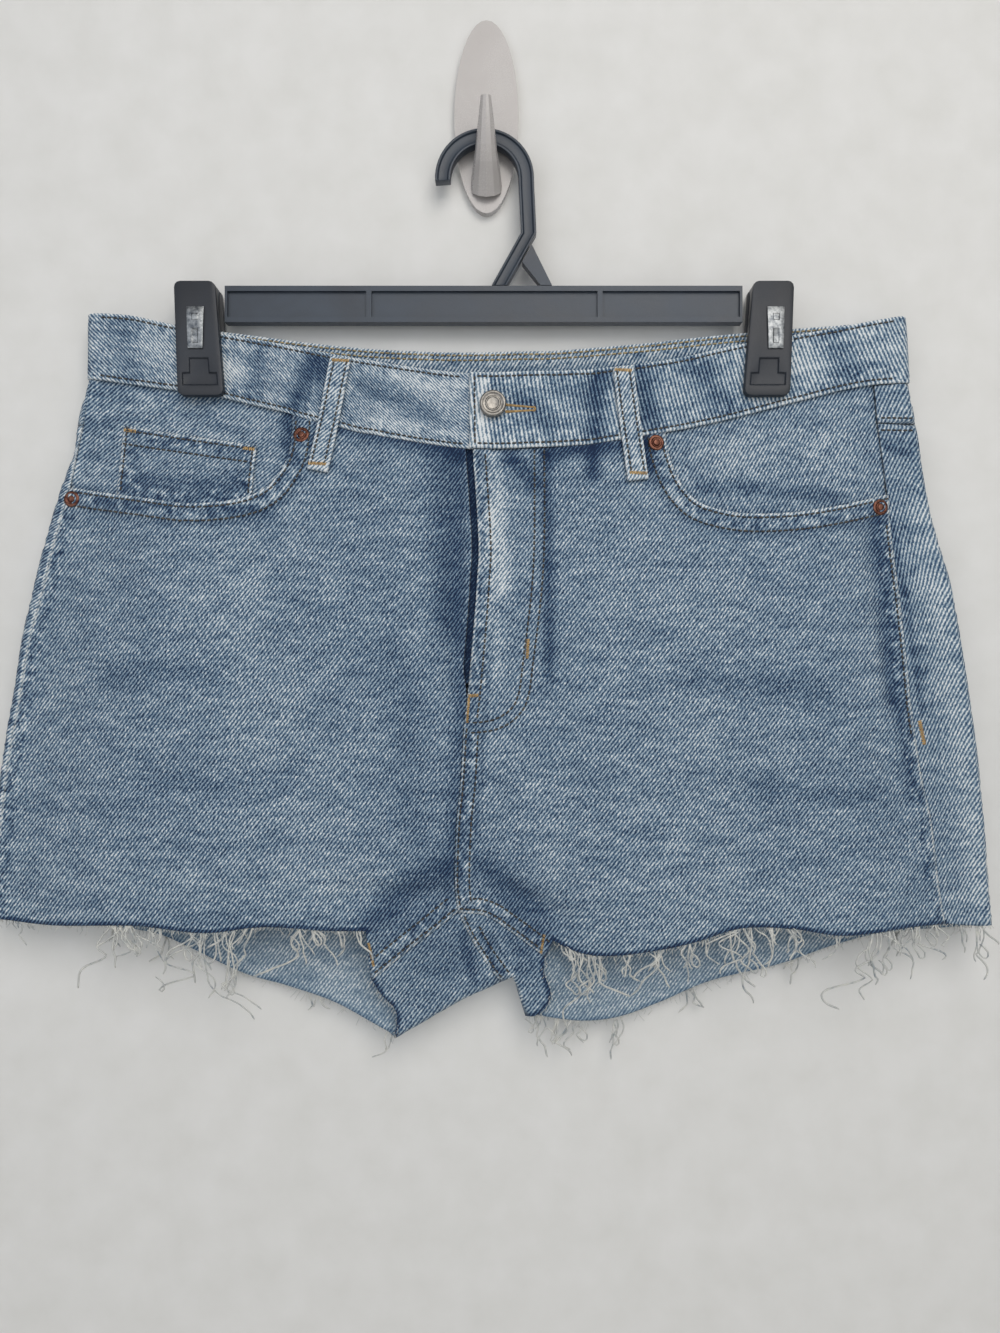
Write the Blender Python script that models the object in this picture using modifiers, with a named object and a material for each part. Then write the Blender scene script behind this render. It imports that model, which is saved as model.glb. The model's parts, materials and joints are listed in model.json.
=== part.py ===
"""Denim cut-off shorts, clipped by the waistband in a plastic clip hanger that hangs on a wall hook.

Metres, +Z up. The wall is the plane y = 0, the shorts hang in front of it at negative y, and the
origin is the middle of the wall hook's flat back. Right and left are the wearer's: right is at -x.
The tables are in millimetres, in the same frame.
"""

import math

import bmesh
import bpy
import numpy as np
from mathutils import Matrix, Vector
from mathutils.geometry import delaunay_2d_cdt

MM = 0.001

# Cloth and sewing sizes
CLOTH = 1.2
BAND_THICK = 2.6
BAND_PROUD = 0.7
LOOP_THICK = 2.0
LOOP_WIDTH = 12.0
LOOP_STAND = 3.6
LOOP_BOW = {"rise": 0.9, "rise_share": 0.6, "drop": 0.75, "drop_from": 0.68, "drop_share": 0.2}
SEAM_GAP = 0.2
LAYER_GAP = 0.7
MESH_STEP = 17.0
FOLD_ROWS = (1.2, 3.0, 7.0)
FOLD_RADIUS = 4.0
FOLD_EASE = 80.0
CENTRE_X = 5.0
CENTRE_REACH = 110.0

# Clip hanger and wall hook sizes
CLIP_PINCH = 2.0
CLIP_Y = -13.0
CLIP_HALF = 14.0
CLIP_FOOT = -171.0
CLIP_EASE = 60.0
CLIPS = {"right": -165.4, "left": 163.0}
CLIP_LEAN = {"right": 3.7, "left": -3.8}
JAW_TOP = -103.4
JAW_FOOT = -169.1
JAW_TOP_WIDTH = 23.5
JAW_FOOT_WIDTH = 26.4
JAW_FRONT = (-22.7, -17.4)
JAW_BACK = (-8.6, -4.8)
JAW_BRIDGE_FOOT = -122.5
SPRING = {"width": 10.0, "top": -118.5, "foot": -142.5, "thick": 1.0, "off_middle": 0.9}
BAR = {"from_x": -151.5, "to_x": 148.5, "top": -103.9, "foot": -124.9, "rim": 3.0, "recess": 2.2}
BAR_RIBS = (-68.0, 66.0)
HANGER_Y = (-16.0, -9.0)
HOOK_ARC = {"x": -1.0, "z": -41.0, "radius": 24.2, "width": 9.0}
HOOK_SHANK = ((23.3, -41.0), (24.6, -73.0), (7.6, -103.5))
STRUT = ((26.5, -80.0), (38.1, -103.5), (31.6, -103.5), (20.9, -90.0))
PLATE = {"half_width": 19.0, "half_height": 57.0, "thick": 5.0, "sides": 40}
PRONG = (
    # y, z, radius
    (-3.5, -42.5, 9.5), (-11.5, -35.2, 8.2), (-19.8, -27.2, 6.3), (-25.8, -14.5, 4.6), (-29.8, -1.5, 2.9),
)
WALL_CUT = ((-60.0, 0.0, -90.0), (60.0, 40.0, 90.0))
EDGE_ROUNDING = {"hook": 0.9, "front_jaw": 1.2, "back_jaw": 0.8}
JAW_CORNER = 3.5
PART_GAP = 0.3

# Hanging form: a row for each level, with how far the fold edges and the two legs' middles stand from
# the wall, and half the depth there, at the centre and at the legs
LEVELS = (
    # z, fold_y, centre_y, centre_half, leg_y, leg_half
    (-115, -13.0, -17.0, 11.0, -13.0, 5.0),
    (-170, -13.5, -17.5, 12.0, -14.0, 7.0),
    (-230, -16.0, -19.0, 13.5, -17.5, 12.0),
    (-300, -18.5, -20.5, 14.5, -20.0, 15.5),
    (-380, -21.0, -21.0, 14.0, -21.5, 17.0),
    (-450, -22.0, -21.5, 12.0, -22.0, 16.5),
    (-545, -22.0, -22.0, 10.0, -22.0, 15.0),
)

# Largest folds of the front: a ridge is positive, a valley negative
FRONT_FOLDS = (
    # from_x, from_z, to_x, to_z, half_width, height
    (-17, -212, -16, -338, 11, -3.0),
    (-24, -455, -78, -452, 13, -2.5),
    (16, -452, 42, -466, 10, -2.0),
    (219, -250, 229, -345, 8, -1.6),
    (-70, -170, -76, -205, 9, -1.8),
    (-176, -255, -150, -430, 45, 1.6),
    (120, -262, 96, -440, 50, 1.8),
)

# Outer fold edges, top to bottom
RIGHT_FOLD = (
    (-230.2, -120.3), (-230.6, -158.3), (-234.0, -172.0), (-237.0, -185.0), (-238.5, -201.0),
    (-245.0, -220.0), (-254.0, -251.0), (-261.2, -282.5), (-266.8, -308.6), (-270.8, -338.0),
    (-275.8, -369.0), (-279.5, -401.0), (-282.2, -430.0), (-283.8, -468.7),
)
LEFT_FOLD = (
    (242.7, -121.5), (244.9, -160.6), (247.1, -174.0), (250.0, -192.0), (253.5, -221.0),
    (260.3, -251.0), (267.5, -278.0), (274.0, -317.0), (278.0, -348.0), (281.6, -378.0),
    (284.6, -410.0), (286.8, -444.0), (289.4, -472.7),
)
# Inner fold edges under the crotch, from the leg openings up to the seat seam
SEAT_FOOT = (9.0, -504.6)
RIGHT_INNER_FOLD = ((-52.4, -537.1), (-31.7, -525.1), (-14.0, -515.0), (8.6, -504.8))
LEFT_INNER_FOLD = ((9.4, -504.4), (15.5, -502.0), (18.9, -511.8), (23.0, -524.5))

# Seams on the front side
BAND_TOP = (
    (-230.2, -120.3), (-206.5, -121.3), (-181.9, -126.1), (-137.1, -134.4), (-89.9, -144.6),
    (-49.1, -152.4), (-9.3, -158.2), (30.7, -157.4), (65.2, -154.4), (106.1, -147.7),
    (147.4, -137.7), (193.7, -129.9), (242.7, -121.5),
)
BAND_FOOT = (
    (-230.6, -158.3), (-180.2, -164.5), (-156.4, -168.0), (-117.7, -177.8), (-100.9, -183.2),
    (-54.6, -194.5), (-9.3, -201.6), (30.6, -200.9), (64.8, -197.4), (111.4, -188.7),
    (182.2, -170.5), (216.1, -163.0), (244.9, -160.6),
)
BACK_BAND_TOP = (
    (-230.2, -120.3), (-91.9, -135.5), (-33.2, -139.0), (16.8, -138.5), (66.9, -136.5), (242.7, -121.5),
)
BACK_BAND_FOOT = (
    (-230.6, -158.3), (-91.9, -175.5), (-33.2, -180.0), (16.8, -180.0), (66.9, -177.0), (244.9, -160.6),
)
FLY_EDGE = (
    (-7.4, -202.0), (-4.1, -253.0), (-4.9, -276.0), (-6.3, -297.0), (-9.8, -337.0),
    (-12.2, -358.5), (-14.0, -389.0), (-16.3, -412.0), (-17.4, -445.0), (-15.5, -463.0),
)
RIGHT_SCOOP = (
    (-111.0, -180.2), (-111.2, -197.8), (-114.0, -209.5), (-122.0, -221.5), (-134.4, -228.5),
    (-152.4, -231.8), (-171.2, -232.4), (-190.1, -229.6), (-217.0, -225.5), (-239.2, -221.8),
)
LEFT_SCOOP = (
    (102.4, -190.6), (102.4, -196.5), (104.3, -205.6), (108.1, -217.3), (114.1, -226.6),
    (123.1, -233.5), (143.9, -238.1), (172.3, -237.5), (197.3, -233.8), (229.9, -226.2),
)
RIGHT_SIDE_TOP = ((-228.8, -158.6), (-232.5, -185.0), (-239.2, -221.8))
RIGHT_SIDE_SEAM = (
    (-239.2, -221.8), (-247.6, -251.7), (-254.4, -283.0), (-262.0, -313.0), (-266.6, -344.0),
    (-271.5, -372.0), (-275.5, -405.0), (-277.9, -430.0), (-278.4, -468.0),
)
LEFT_SIDE_TOP = ((224.0, -161.9), (225.7, -184.5), (229.9, -226.2))
LEFT_SIDE_SEAM = (
    (229.9, -226.2), (231.9, -252.0), (234.5, -283.0), (238.2, -320.8), (240.5, -351.4),
    (246.0, -389.0), (251.3, -412.0), (255.9, -450.0), (259.5, -470.0),
)
RIGHT_FRONT_HEM = (
    (-67.3, -472.6), (-87.2, -472.0), (-124.0, -469.6), (-157.6, -473.0), (-198.9, -468.8),
    (-246.7, -470.3), (-278.4, -468.0),
)
LEFT_FRONT_HEM = (
    (259.5, -470.0), (235.2, -471.0), (199.3, -474.7), (170.8, -470.8), (142.8, -470.2),
    (118.2, -477.5), (99.2, -482.1), (66.7, -487.3), (48.9, -484.8), (38.1, -479.5),
)
LEFT_OUTER_HEM_END = (281.0, -471.8)
RIGHT_INSEAM = ((-15.5, -463.0), (-40.7, -482.4), (-64.6, -501.4))
LEFT_INSEAM = ((33.7, -489.4), (14.3, -474.8), (-0.5, -465.0), (-15.5, -463.0))
SEAT_SEAM_FRONT = ((-15.5, -463.0), (-8.5, -478.0), (1.0, -494.0), SEAT_FOOT)
RIGHT_RAW_EDGE = ((-64.6, -501.4), (-59.0, -511.0), (-51.0, -521.0), (-52.4, -537.1))
LEFT_RAW_EDGE = ((23.0, -524.5), (31.5, -521.5), (37.1, -511.4), (33.0, -498.0), (33.7, -489.4))

# Seams on the back side
YOKE_SEAM = ((-237.0, -185.0), (-120.0, -204.0), (4.0, -226.0), (125.0, -204.0), (248.5, -184.0))
SEAT_SEAM_BACK = ((9.0, -504.6), (6.5, -440.0), (4.0, -340.0), (4.0, -226.0))
YOKE_MIDDLE = ((4.0, -226.0), (4.0, -180.0))
RIGHT_BACK_HEM = (
    (-283.8, -468.7), (-240.0, -474.5), (-216.5, -477.8), (-194.3, -481.8), (-177.7, -488.6),
    (-142.7, -505.0), (-117.2, -512.0), (-85.5, -521.0), (-52.4, -537.1),
)
LEFT_BACK_HEM = (
    (23.0, -524.5), (55.8, -530.0), (78.5, -529.0), (102.5, -521.5), (131.5, -509.5),
    (172.3, -499.5), (206.1, -488.0), (240.0, -479.5), (289.4, -472.7),
)

# Pieces that lie on a panel
COIN_POCKET = (
    (-209.4, -185.5), (-131.8, -197.7), (-132.2, -226.4), (-152.4, -230.9), (-171.2, -231.5),
    (-190.1, -228.7), (-210.2, -225.5),
)
BACK_POCKET = ((-73.0, 0.0), (73.0, 0.0), (69.0, -128.0), (0.0, -158.0), (-69.0, -128.0))
BACK_POCKETS = {"right": (-128.0, -252.0, 6.0), "left": (134.0, -252.0, -6.0)}
BELT_LOOPS = (
    # name, layer, top_x, top_z, foot_x, foot_z
    ("belt_loop_front_right", "front", -82.8, -147.5, -95.0, -214.0),
    ("belt_loop_front_left", "front", 77.9, -153.5, 85.8, -219.5),
    ("belt_loop_back_right", "back", -122.0, -133.5, -124.0, -199.0),
    ("belt_loop_back_left", "back", 128.0, -132.5, 130.0, -198.0),
    ("belt_loop_back_centre", "back", 16.0, -139.5, 16.0, -205.0),
)
RIVETS = (
    # name, x, z
    ("rivet_right_inner", -105.3, -192.6),
    ("rivet_right_outer", -237.3, -228.6),
    ("rivet_left_inner", 96.5, -197.5),
    ("rivet_left_outer", 224.7, -233.6),
)
RIVET = {"radius": 4.75, "thick": 1.5, "lift": 1.15}
BUTTON = {"x": 4.0, "z": -177.9, "radius": 7.5, "thick": 3.4, "neck_radius": 3.0, "neck": 1.3, "lift": 3.9}
FACING = {"under": 9.0, "right_top_x": -226.0, "left_top_x": 223.4, "lap_in": 2.0}
FACING_CORNERS = {
    # where each facing turns under the front panel: by the scoop's top, and by the side seam
    "right": ((-102.0, -205.0), (-236.0, -230.5)),
    "left": ((93.4, -207.0), (229.4, -235.0)),
}
POCKET_LIFT = {"coin": 0.9, "back": 1.0}
FLY_UNDERCUT = {"width": 4.0, "from_z": -322.0, "over": 24.0}
FLY_BACKING = (
    # name, layers down, from_edge, to_edge
    ("fly_zip", 1, 3.0, 24.0),
    ("fly_shield", 2, -15.0, 27.0),
)
FLY_BACKING_Z = (-206.0, -334.0)
OVERLAP = {"end_x": -9.3, "under_x": 22.0, "ease": 28.0, "out": 1.5, "in": 1.7}
FRINGES = (
    # name, layer, from_x, to_x
    ("fringe_front_right", "front", -276.0, -74.0),
    ("fringe_front_left", "front", 44.0, 281.0),
    ("fringe_back_right", "back", -270.0, -62.0),
    ("fringe_back_left", "back", 30.0, 276.0),
)
FRINGE_GAP = 1.4
FRINGE_THICK = 1.0
FRINGE_STATIONS = 16
FRINGE_REACH = {"front": 16.0, "back": 22.0}

COLOURS = {
    # name: red, green, blue, roughness, metallic
    "denim": (0.24, 0.33, 0.42, 0.9, 0.0),
    "denim_inside": (0.22, 0.28, 0.33, 0.92, 0.0),
    "fringe": (0.62, 0.64, 0.64, 0.9, 0.0),
    "copper": (0.45, 0.18, 0.1, 0.35, 1.0),
    "pewter": (0.32, 0.31, 0.3, 0.4, 1.0),
    "nickel": (0.6, 0.6, 0.6, 0.3, 1.0),
    "hanger_plastic": (0.03, 0.035, 0.045, 0.4, 0.0),
    "hook_plastic": (0.62, 0.61, 0.62, 0.3, 0.0),
}


def clear_scene():
    for obj in list(bpy.data.objects):
        bpy.data.objects.remove(obj, do_unlink=True)


def new_collection(name, hidden=False):
    collection = bpy.data.collections.new(name)
    bpy.context.scene.collection.children.link(collection)
    collection.hide_render = hidden
    return collection


def material(name):
    found = bpy.data.materials.get(name)
    if found:
        return found
    red, green, blue, roughness, metallic = COLOURS[name]
    made = bpy.data.materials.new(name)
    made.use_nodes = True
    shader = made.node_tree.nodes["Principled BSDF"]
    shader.inputs["Base Color"].default_value = (red, green, blue, 1.0)
    shader.inputs["Roughness"].default_value = roughness
    shader.inputs["Metallic"].default_value = metallic
    return made


def smooth(t):
    t = np.clip(t, 0.0, 1.0)
    return t * t * (3.0 - 2.0 * t)


def distance_to(points, line):
    """Distance from each point to a polyline."""
    best = np.full(len(points), 1e9)
    for start, end in zip(line, line[1:]):
        run = np.array(end) - np.array(start)
        t = np.clip((points - start) @ run / (run @ run), 0.0, 1.0)
        best = np.minimum(best, np.linalg.norm(points - start - t[:, None] * run, axis=1))
    return best


def level(column, z):
    """One column of LEVELS at each height z, eased between its rows."""
    rows = np.array(LEVELS, float)[::-1]
    place = np.interp(z, rows[:, 0], np.arange(len(rows)))
    low = np.clip(np.floor(place).astype(int), 0, len(rows) - 2)
    return rows[low, column] + (rows[low + 1, column] - rows[low, column]) * smooth(place - low)


def fold_heights(points):
    """How far the named folds push each point of the front outwards."""
    total = np.zeros(len(points))
    for from_x, from_z, to_x, to_z, half_width, height in FRONT_FOLDS:
        away = distance_to(points, ((from_x, from_z), (to_x, to_z))) / half_width
        total += height * np.exp(-away * away * 2.0)
    return total


def depth(points, layer, out=0.0):
    """The y of the cloth's middle at each (x, z), on the front or the back layer, moved out by a distance."""
    x, z = points[:, 0], points[:, 1]
    folds = (RIGHT_FOLD, LEFT_FOLD, RIGHT_INNER_FOLD, LEFT_INNER_FOLD)
    edge = np.min([distance_to(points, fold) for fold in folds], axis=0)
    edge[edge < 0.02] = 0.0
    centre = 0.5 * (1.0 + np.cos(np.pi * np.clip(np.abs(x - CENTRE_X) / CENTRE_REACH, 0, 1)))
    middle = centre * level(2, z) + (1.0 - centre) * level(4, z)
    half = centre * level(3, z) + (1.0 - centre) * level(5, z)
    ease = smooth(edge / FOLD_EASE)
    middle = level(1, z) + (middle - level(1, z)) * ease
    rounding = np.sqrt(1.0 - (1.0 - np.clip(edge / FOLD_RADIUS, 0, 1)) ** 2)
    half = FOLD_RADIUS * rounding + (half - FOLD_RADIUS) * ease
    for clip_x in CLIPS.values():
        side = np.maximum(np.abs(x - clip_x) - CLIP_HALF, 0) / CLIP_EASE
        below = np.maximum(CLIP_FOOT - z, 0) / CLIP_EASE
        held = (1.0 - smooth(np.hypot(side, below))) * smooth(edge / 20.0)
        half = half + (CLIP_PINCH - half) * held
        middle = middle + (CLIP_Y - middle) * held
    out = out * smooth(edge / 8.0)
    if layer == "front":
        return middle - half - out - fold_heights(points) * smooth(edge / 20.0)
    return middle + half + out


def curve(points, step=MESH_STEP):
    """A smooth line through the points (Catmull-Rom), with a point about every step."""
    points = [np.array(point, float) for point in points]
    ends = [2 * points[0] - points[1]] + points + [2 * points[-1] - points[-2]]
    line = []
    for before, start, end, after in zip(ends, ends[1:], ends[2:], ends[3:]):
        count = max(1, round(float(np.linalg.norm(end - start)) / step))
        for number in range(count):
            t = number / count
            square = 2 * before - 5 * start + 4 * end - after
            cube = 3 * (start - end) + after - before
            line.append(start + 0.5 * t * (end - before + square * t + cube * t * t))
    return line + [points[-1]]


def between(line, from_z, to_z, reverse=False):
    """The stretch of a line from one height down to another, cut exactly there."""
    line = [np.array(point, float) for point in line]
    heights = np.array([point[1] for point in line])
    across = np.array([point[0] for point in line])
    inner = [point for point in line if to_z + 1.5 < point[1] < from_z - 1.5]
    ends = [np.array((np.interp(-z, -heights, across), z)) for z in (from_z, to_z)]
    found = [ends[0]] + inner + [ends[1]]
    return found[::-1] if reverse else found


def shifted(line, across, up=0.0):
    return [np.array((point[0] + across, point[1] + up)) for point in line]


def inset(loop, on_fold):
    """The closed outline drawn in by half a seam gap, except where it lies on a fold."""
    loop = np.array(loop)
    area = np.sum(loop[:, 0] * np.roll(loop[:, 1], -1) - np.roll(loop[:, 0], -1) * loop[:, 1])
    made = []
    for number, point in enumerate(loop):
        if on_fold[number]:
            made.append(point)
            continue
        before = point - loop[number - 1]
        after = loop[(number + 1) % len(loop)] - point
        before = before / np.linalg.norm(before)
        after = after / np.linalg.norm(after)
        tangent = before + after
        normal = np.array((-tangent[1], tangent[0])) * math.copysign(1.0, area)
        normal = normal / max(np.linalg.norm(normal), 1e-6)
        lean = max(0.5, float(normal @ (np.array((-after[1], after[0])) * math.copysign(1.0, area))))
        made.append(point + normal * SEAM_GAP / lean)
    return np.array(made)


def inside(points, loop):
    """Which points lie inside a closed outline."""
    found = np.zeros(len(points), bool)
    x, z = points[:, 0], points[:, 1]
    for (x1, z1), (x2, z2) in zip(loop, np.roll(loop, -1, axis=0)):
        if z1 == z2:
            continue
        crosses = (z1 > z) != (z2 > z)
        found ^= crosses & (x < (x2 - x1) * (z - z1) / (z2 - z1) + x1)
    return found


def filled(chains, step):
    """Triangles over an outline. Each chain is (kind, points), and a chain of kind fold rounds over there."""
    loop = []
    on_fold = []
    for kind, points in chains:
        for point in points:
            if loop and np.linalg.norm(point - loop[-1]) < 0.05:
                on_fold[-1] = on_fold[-1] or kind == "fold"
                continue
            loop.append(point)
            on_fold.append(kind == "fold")
    if np.linalg.norm(loop[0] - loop[-1]) < 0.05:
        on_fold[0] = on_fold[0] or on_fold[-1]
        loop.pop()
        on_fold.pop()
    loop = inset(loop, on_fold)
    closed_loop = np.vstack([loop, loop[:1]])
    extra = []
    fold_lines = [points for kind, points in chains if kind == "fold"]
    for line in fold_lines:
        for before, point, after in zip([line[0]] + line, line, line[1:] + [line[-1]]):
            along = (after - before) / np.linalg.norm(after - before)
            for row in FOLD_ROWS:
                for side in (-row, row):
                    extra.append(point + side * np.array((-along[1], along[0])))
    low = loop.min(axis=0)
    high = loop.max(axis=0)
    rows = int((high[1] - low[1]) / (step * 0.87)) + 1
    for row in range(rows + 1):
        start = low[0] + (row % 2) * step / 2
        for column in range(int((high[0] - low[0]) / step) + 1):
            extra.append(np.array((start + column * step, low[1] + row * step * 0.87)))
    extra = np.array(extra)
    extra = extra[inside(extra, loop)]
    near_edge = distance_to(extra, closed_loop)
    if fold_lines:
        near_fold = np.min([distance_to(extra, line) for line in fold_lines], axis=0)
        fold_row = near_fold < FOLD_ROWS[-1] + 0.2
        keep = np.where(fold_row, near_edge > 0.9, (near_edge > step * 0.4) & (near_fold > step * 0.7))
    else:
        keep = near_edge > step * 0.4
    kept = []
    for point in extra[keep]:
        if all(np.linalg.norm(point - other) > 0.9 for other in kept):
            kept.append(point)
    coords = [Vector(point) for point in loop] + [Vector(point) for point in kept]
    result = delaunay_2d_cdt(coords, [], [list(range(len(loop)))], 1, 1e-5)
    flags = np.zeros(len(result[0]), bool)
    for number, origins in enumerate(result[3]):
        flags[number] = any(origin < len(loop) and on_fold[origin] for origin in origins)
    return np.array([tuple(point) for point in result[0]]), result[2], flags


def add_part(mesh, layer, chains, out, step):
    """One part of a piece of cloth, on one layer, in a bmesh."""
    points, faces, on_fold = filled(chains, step)
    y = depth(points, layer, out)
    z = points[:, 1]
    y = np.where(on_fold, level(1, z), y)
    verts = [mesh.verts.new((point[0] * MM, deep * MM, point[1] * MM)) for point, deep in zip(points, y)]
    for face in faces:
        corners = [points[number] for number in face]
        area = sum(a[0] * b[1] - b[0] * a[1] for a, b in zip(corners, corners[1:] + corners[:1]))
        turn = (area > 0) == (layer == "front")
        order = face if turn else face[::-1]
        mesh.faces.new([verts[number] for number in order])


def finish_mesh(name, mesh, colour, collection):
    data = bpy.data.meshes.new(name)
    mesh.to_mesh(data)
    mesh.free()
    obj = bpy.data.objects.new(name, data)
    obj.data.materials.append(material(colour))
    collection.objects.link(obj)
    return obj


def cloth(name, parts, collection, out=0.0, thick=CLOTH, colour="denim", step=MESH_STEP):
    """A sewn piece: each part is (layer, chains), and parts that share a fold are one sheet."""
    mesh = bmesh.new()
    for layer, chains in parts:
        add_part(mesh, layer, chains, out, step)
    bmesh.ops.remove_doubles(mesh, verts=mesh.verts, dist=0.00008)
    obj = finish_mesh(name, mesh, colour, collection)
    wall = obj.modifiers.new("Wall", "SOLIDIFY")
    wall.thickness = thick * MM
    wall.offset = 0.0
    return obj


def strip(name, stations, collection, thick, colour="denim"):
    """A sewn strip: a row of points for each station, joined into one sheet, then given its thickness."""
    mesh = bmesh.new()
    rows = [[mesh.verts.new(Vector(point) * MM) for point in station] for station in stations]
    for row, following in zip(rows, rows[1:]):
        for a, b, c, d in zip(row, row[1:], following[1:], following):
            mesh.faces.new((a, b, c, d))
    obj = finish_mesh(name, mesh, colour, collection)
    wall = obj.modifiers.new("Wall", "SOLIDIFY")
    wall.thickness = thick * MM
    wall.offset = 0.0
    return obj


def height_on(line, x):
    points = np.array(sorted(tuple(point) for point in line))
    return np.interp(x, points[:, 0], points[:, 1])


def spaced(from_x, to_x):
    """Places along the waistband, a mesh step apart, with one at each side of each clip."""
    low, high = sorted((from_x, to_x))
    sides = [x + side * (CLIP_HALF + 0.5) for x in CLIPS.values() for side in (-1, 1)]
    fixed = [low] + sorted(x for x in sides if low < x < high) + [high]
    found = [low]
    for start, end in zip(fixed, fixed[1:]):
        found += list(np.linspace(start, end, max(1, round((end - start) / MESH_STEP)) + 1)[1:])
    return found if from_x < to_x else found[::-1]


def build_waistband(collection):
    """From under the button end round the right side, the back and the left side to the button end."""
    stations = []
    end, under, ease = OVERLAP["end_x"], OVERLAP["under_x"], OVERLAP["ease"]
    right, left = RIGHT_FOLD[0][0], LEFT_FOLD[0][0]
    near_fold = (9.0, 5.0, 2.5, 1.0)

    def ramp(x, full):
        return full * (1.0 - float(smooth((abs(x - end) - (under - end)) / ease)))

    def add(x, layer, out):
        share = (0.0, 0.34, 0.67, 1.0)
        tops, feet = (BAND_TOP, BAND_FOOT) if layer == "front" else (BACK_BAND_TOP, BACK_BAND_FOOT)
        top = np.array((x, height_on(curve(tops), x)))
        foot_x = x
        if abs(x - right) < 12:
            foot_x = x + (RIGHT_FOLD[1][0] - right) * (1 - abs(x - right) / 12)
        if abs(x - left) < 12:
            foot_x = x + (LEFT_FOLD[1][0] - left) * (1 - abs(x - left) / 12)
        foot = np.array((foot_x, height_on(curve(feet), foot_x)))
        points = np.array([top + (foot - top) * part for part in share])
        if layer == "fold":
            y = level(1, points[:, 1])
        else:
            y = depth(points, layer, out)
        stations.append([(point[0], deep, point[1]) for point, deep in zip(points, y)])

    front_right = [under, 12.0, 2.0, end] + spaced(end - 12, right + 22)
    front_right += [right + gap for gap in near_fold]
    for x in front_right:
        add(x, "front", BAND_PROUD - (ramp(x, OVERLAP["in"]) if x < end else OVERLAP["in"]))
    add(right, "fold", 0)
    back = [right + gap for gap in near_fold[::-1]] + spaced(right + 22, left - 22)
    back += [left - gap for gap in near_fold]
    for x in back:
        add(x, "back", BAND_PROUD)
    add(left, "fold", 0)
    front_left = [left - gap for gap in near_fold[::-1]] + spaced(left - 22, 26)
    front_left += [14.0, 3.0, end]
    for x in front_left:
        add(x, "front", BAND_PROUD + ramp(x, OVERLAP["out"]))
    strip("waistband", stations, collection, BAND_THICK)


def build_panels(collection):
    fly_top = curve(FLY_EDGE)
    under_edge = []
    for x, z in fly_top:
        back_off = FLY_UNDERCUT["width"] * (1.0 - smooth((FLY_UNDERCUT["from_z"] - z) / FLY_UNDERCUT["over"]))
        under_edge.append(np.array((x - back_off, z)))
    band_foot = curve(BAND_FOOT)
    right_scoop = curve(RIGHT_SCOOP, 9.0)
    left_scoop = curve(LEFT_SCOOP, 9.0)

    def band_edge(from_x, to_x):
        """The waistband's lower seam between two places, drawn down by the seam gap."""
        inner = [p for p in band_foot if min(from_x, to_x) + 2 < p[0] < max(from_x, to_x) - 2]
        ends = [np.array((x, height_on(band_foot, x))) for x in (from_x, to_x)]
        line = [ends[0]] + (inner if from_x < to_x else inner[::-1]) + [ends[1]]
        return shifted(line, 0.0, -SEAM_GAP)

    cloth("front_right", [("front", [
        ("seam", band_edge(-111.0, -11.4)),
        ("seam", under_edge[1:]),
        ("seam", curve(RIGHT_INSEAM)),
        ("hem", curve(RIGHT_FRONT_HEM)),
        ("seam", curve(RIGHT_SIDE_SEAM)[::-1]),
        ("edge", right_scoop[::-1][:-1]),
    ])], collection)
    cloth("front_left", [("front", [
        ("seam", band_edge(-7.4, 102.4)),
        ("edge", left_scoop[1:]),
        ("seam", curve(LEFT_SIDE_SEAM)),
        ("hem", curve(LEFT_FRONT_HEM)),
        ("seam", curve(LEFT_INSEAM)),
        ("seam", fly_top[::-1][:-1]),
    ])], collection)

    right_fold = curve(RIGHT_FOLD)
    left_fold = curve(LEFT_FOLD)
    yoke_seam = curve(YOKE_SEAM)
    right_yoke = [p for p in yoke_seam if p[0] < 4.01]
    left_yoke = [p for p in yoke_seam if p[0] > 3.99]
    right_below = between(right_fold, -185.3, -468.7)
    left_below = between(left_fold, -184.3, -472.7)
    cloth("back_right", [
        ("back", [
            ("fold", right_below),
            ("hem", curve(RIGHT_BACK_HEM)[1:-1]),
            ("fold", curve(RIGHT_INNER_FOLD)),
            ("seam", curve(SEAT_SEAM_BACK)[1:]),
            ("seam", right_yoke[::-1][1:-1]),
        ]),
        ("front", [
            ("fold", right_below),
            ("seam", curve(RIGHT_SIDE_SEAM)[::-1]),
            ("seam", between(RIGHT_SIDE_TOP, -185.5, -221.8, True)[1:]),
        ]),
        ("front", [
            ("seam", curve(RIGHT_INSEAM)),
            ("hem", curve(RIGHT_RAW_EDGE)[1:-1]),
            ("fold", curve(RIGHT_INNER_FOLD)),
            ("seam", curve(SEAT_SEAM_FRONT)[::-1][1:-1]),
        ]),
    ], collection)
    cloth("back_left", [
        ("back", [
            ("fold", left_below),
            ("hem", curve(LEFT_BACK_HEM)[::-1][1:-1]),
            ("fold", curve(LEFT_INNER_FOLD)[::-1]),
            ("seam", curve(SEAT_SEAM_BACK)[1:]),
            ("seam", left_yoke[1:-1]),
        ]),
        ("front", [
            ("fold", left_below),
            ("seam", curve(LEFT_SIDE_SEAM)[::-1]),
            ("seam", between(LEFT_SIDE_TOP, -184.6, -226.2, True)[1:]),
        ]),
        ("front", [
            ("seam", curve(LEFT_INSEAM)[:-1]),
            ("seam", curve(SEAT_SEAM_FRONT)[:-1]),
            ("fold", curve(LEFT_INNER_FOLD)),
            ("hem", curve(LEFT_RAW_EDGE)[1:-1]),
        ]),
    ], collection)
    build_yokes(collection, right_fold, left_fold, right_yoke, left_yoke)
    build_facings(collection, band_edge)
    build_fly(collection, fly_top)


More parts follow.
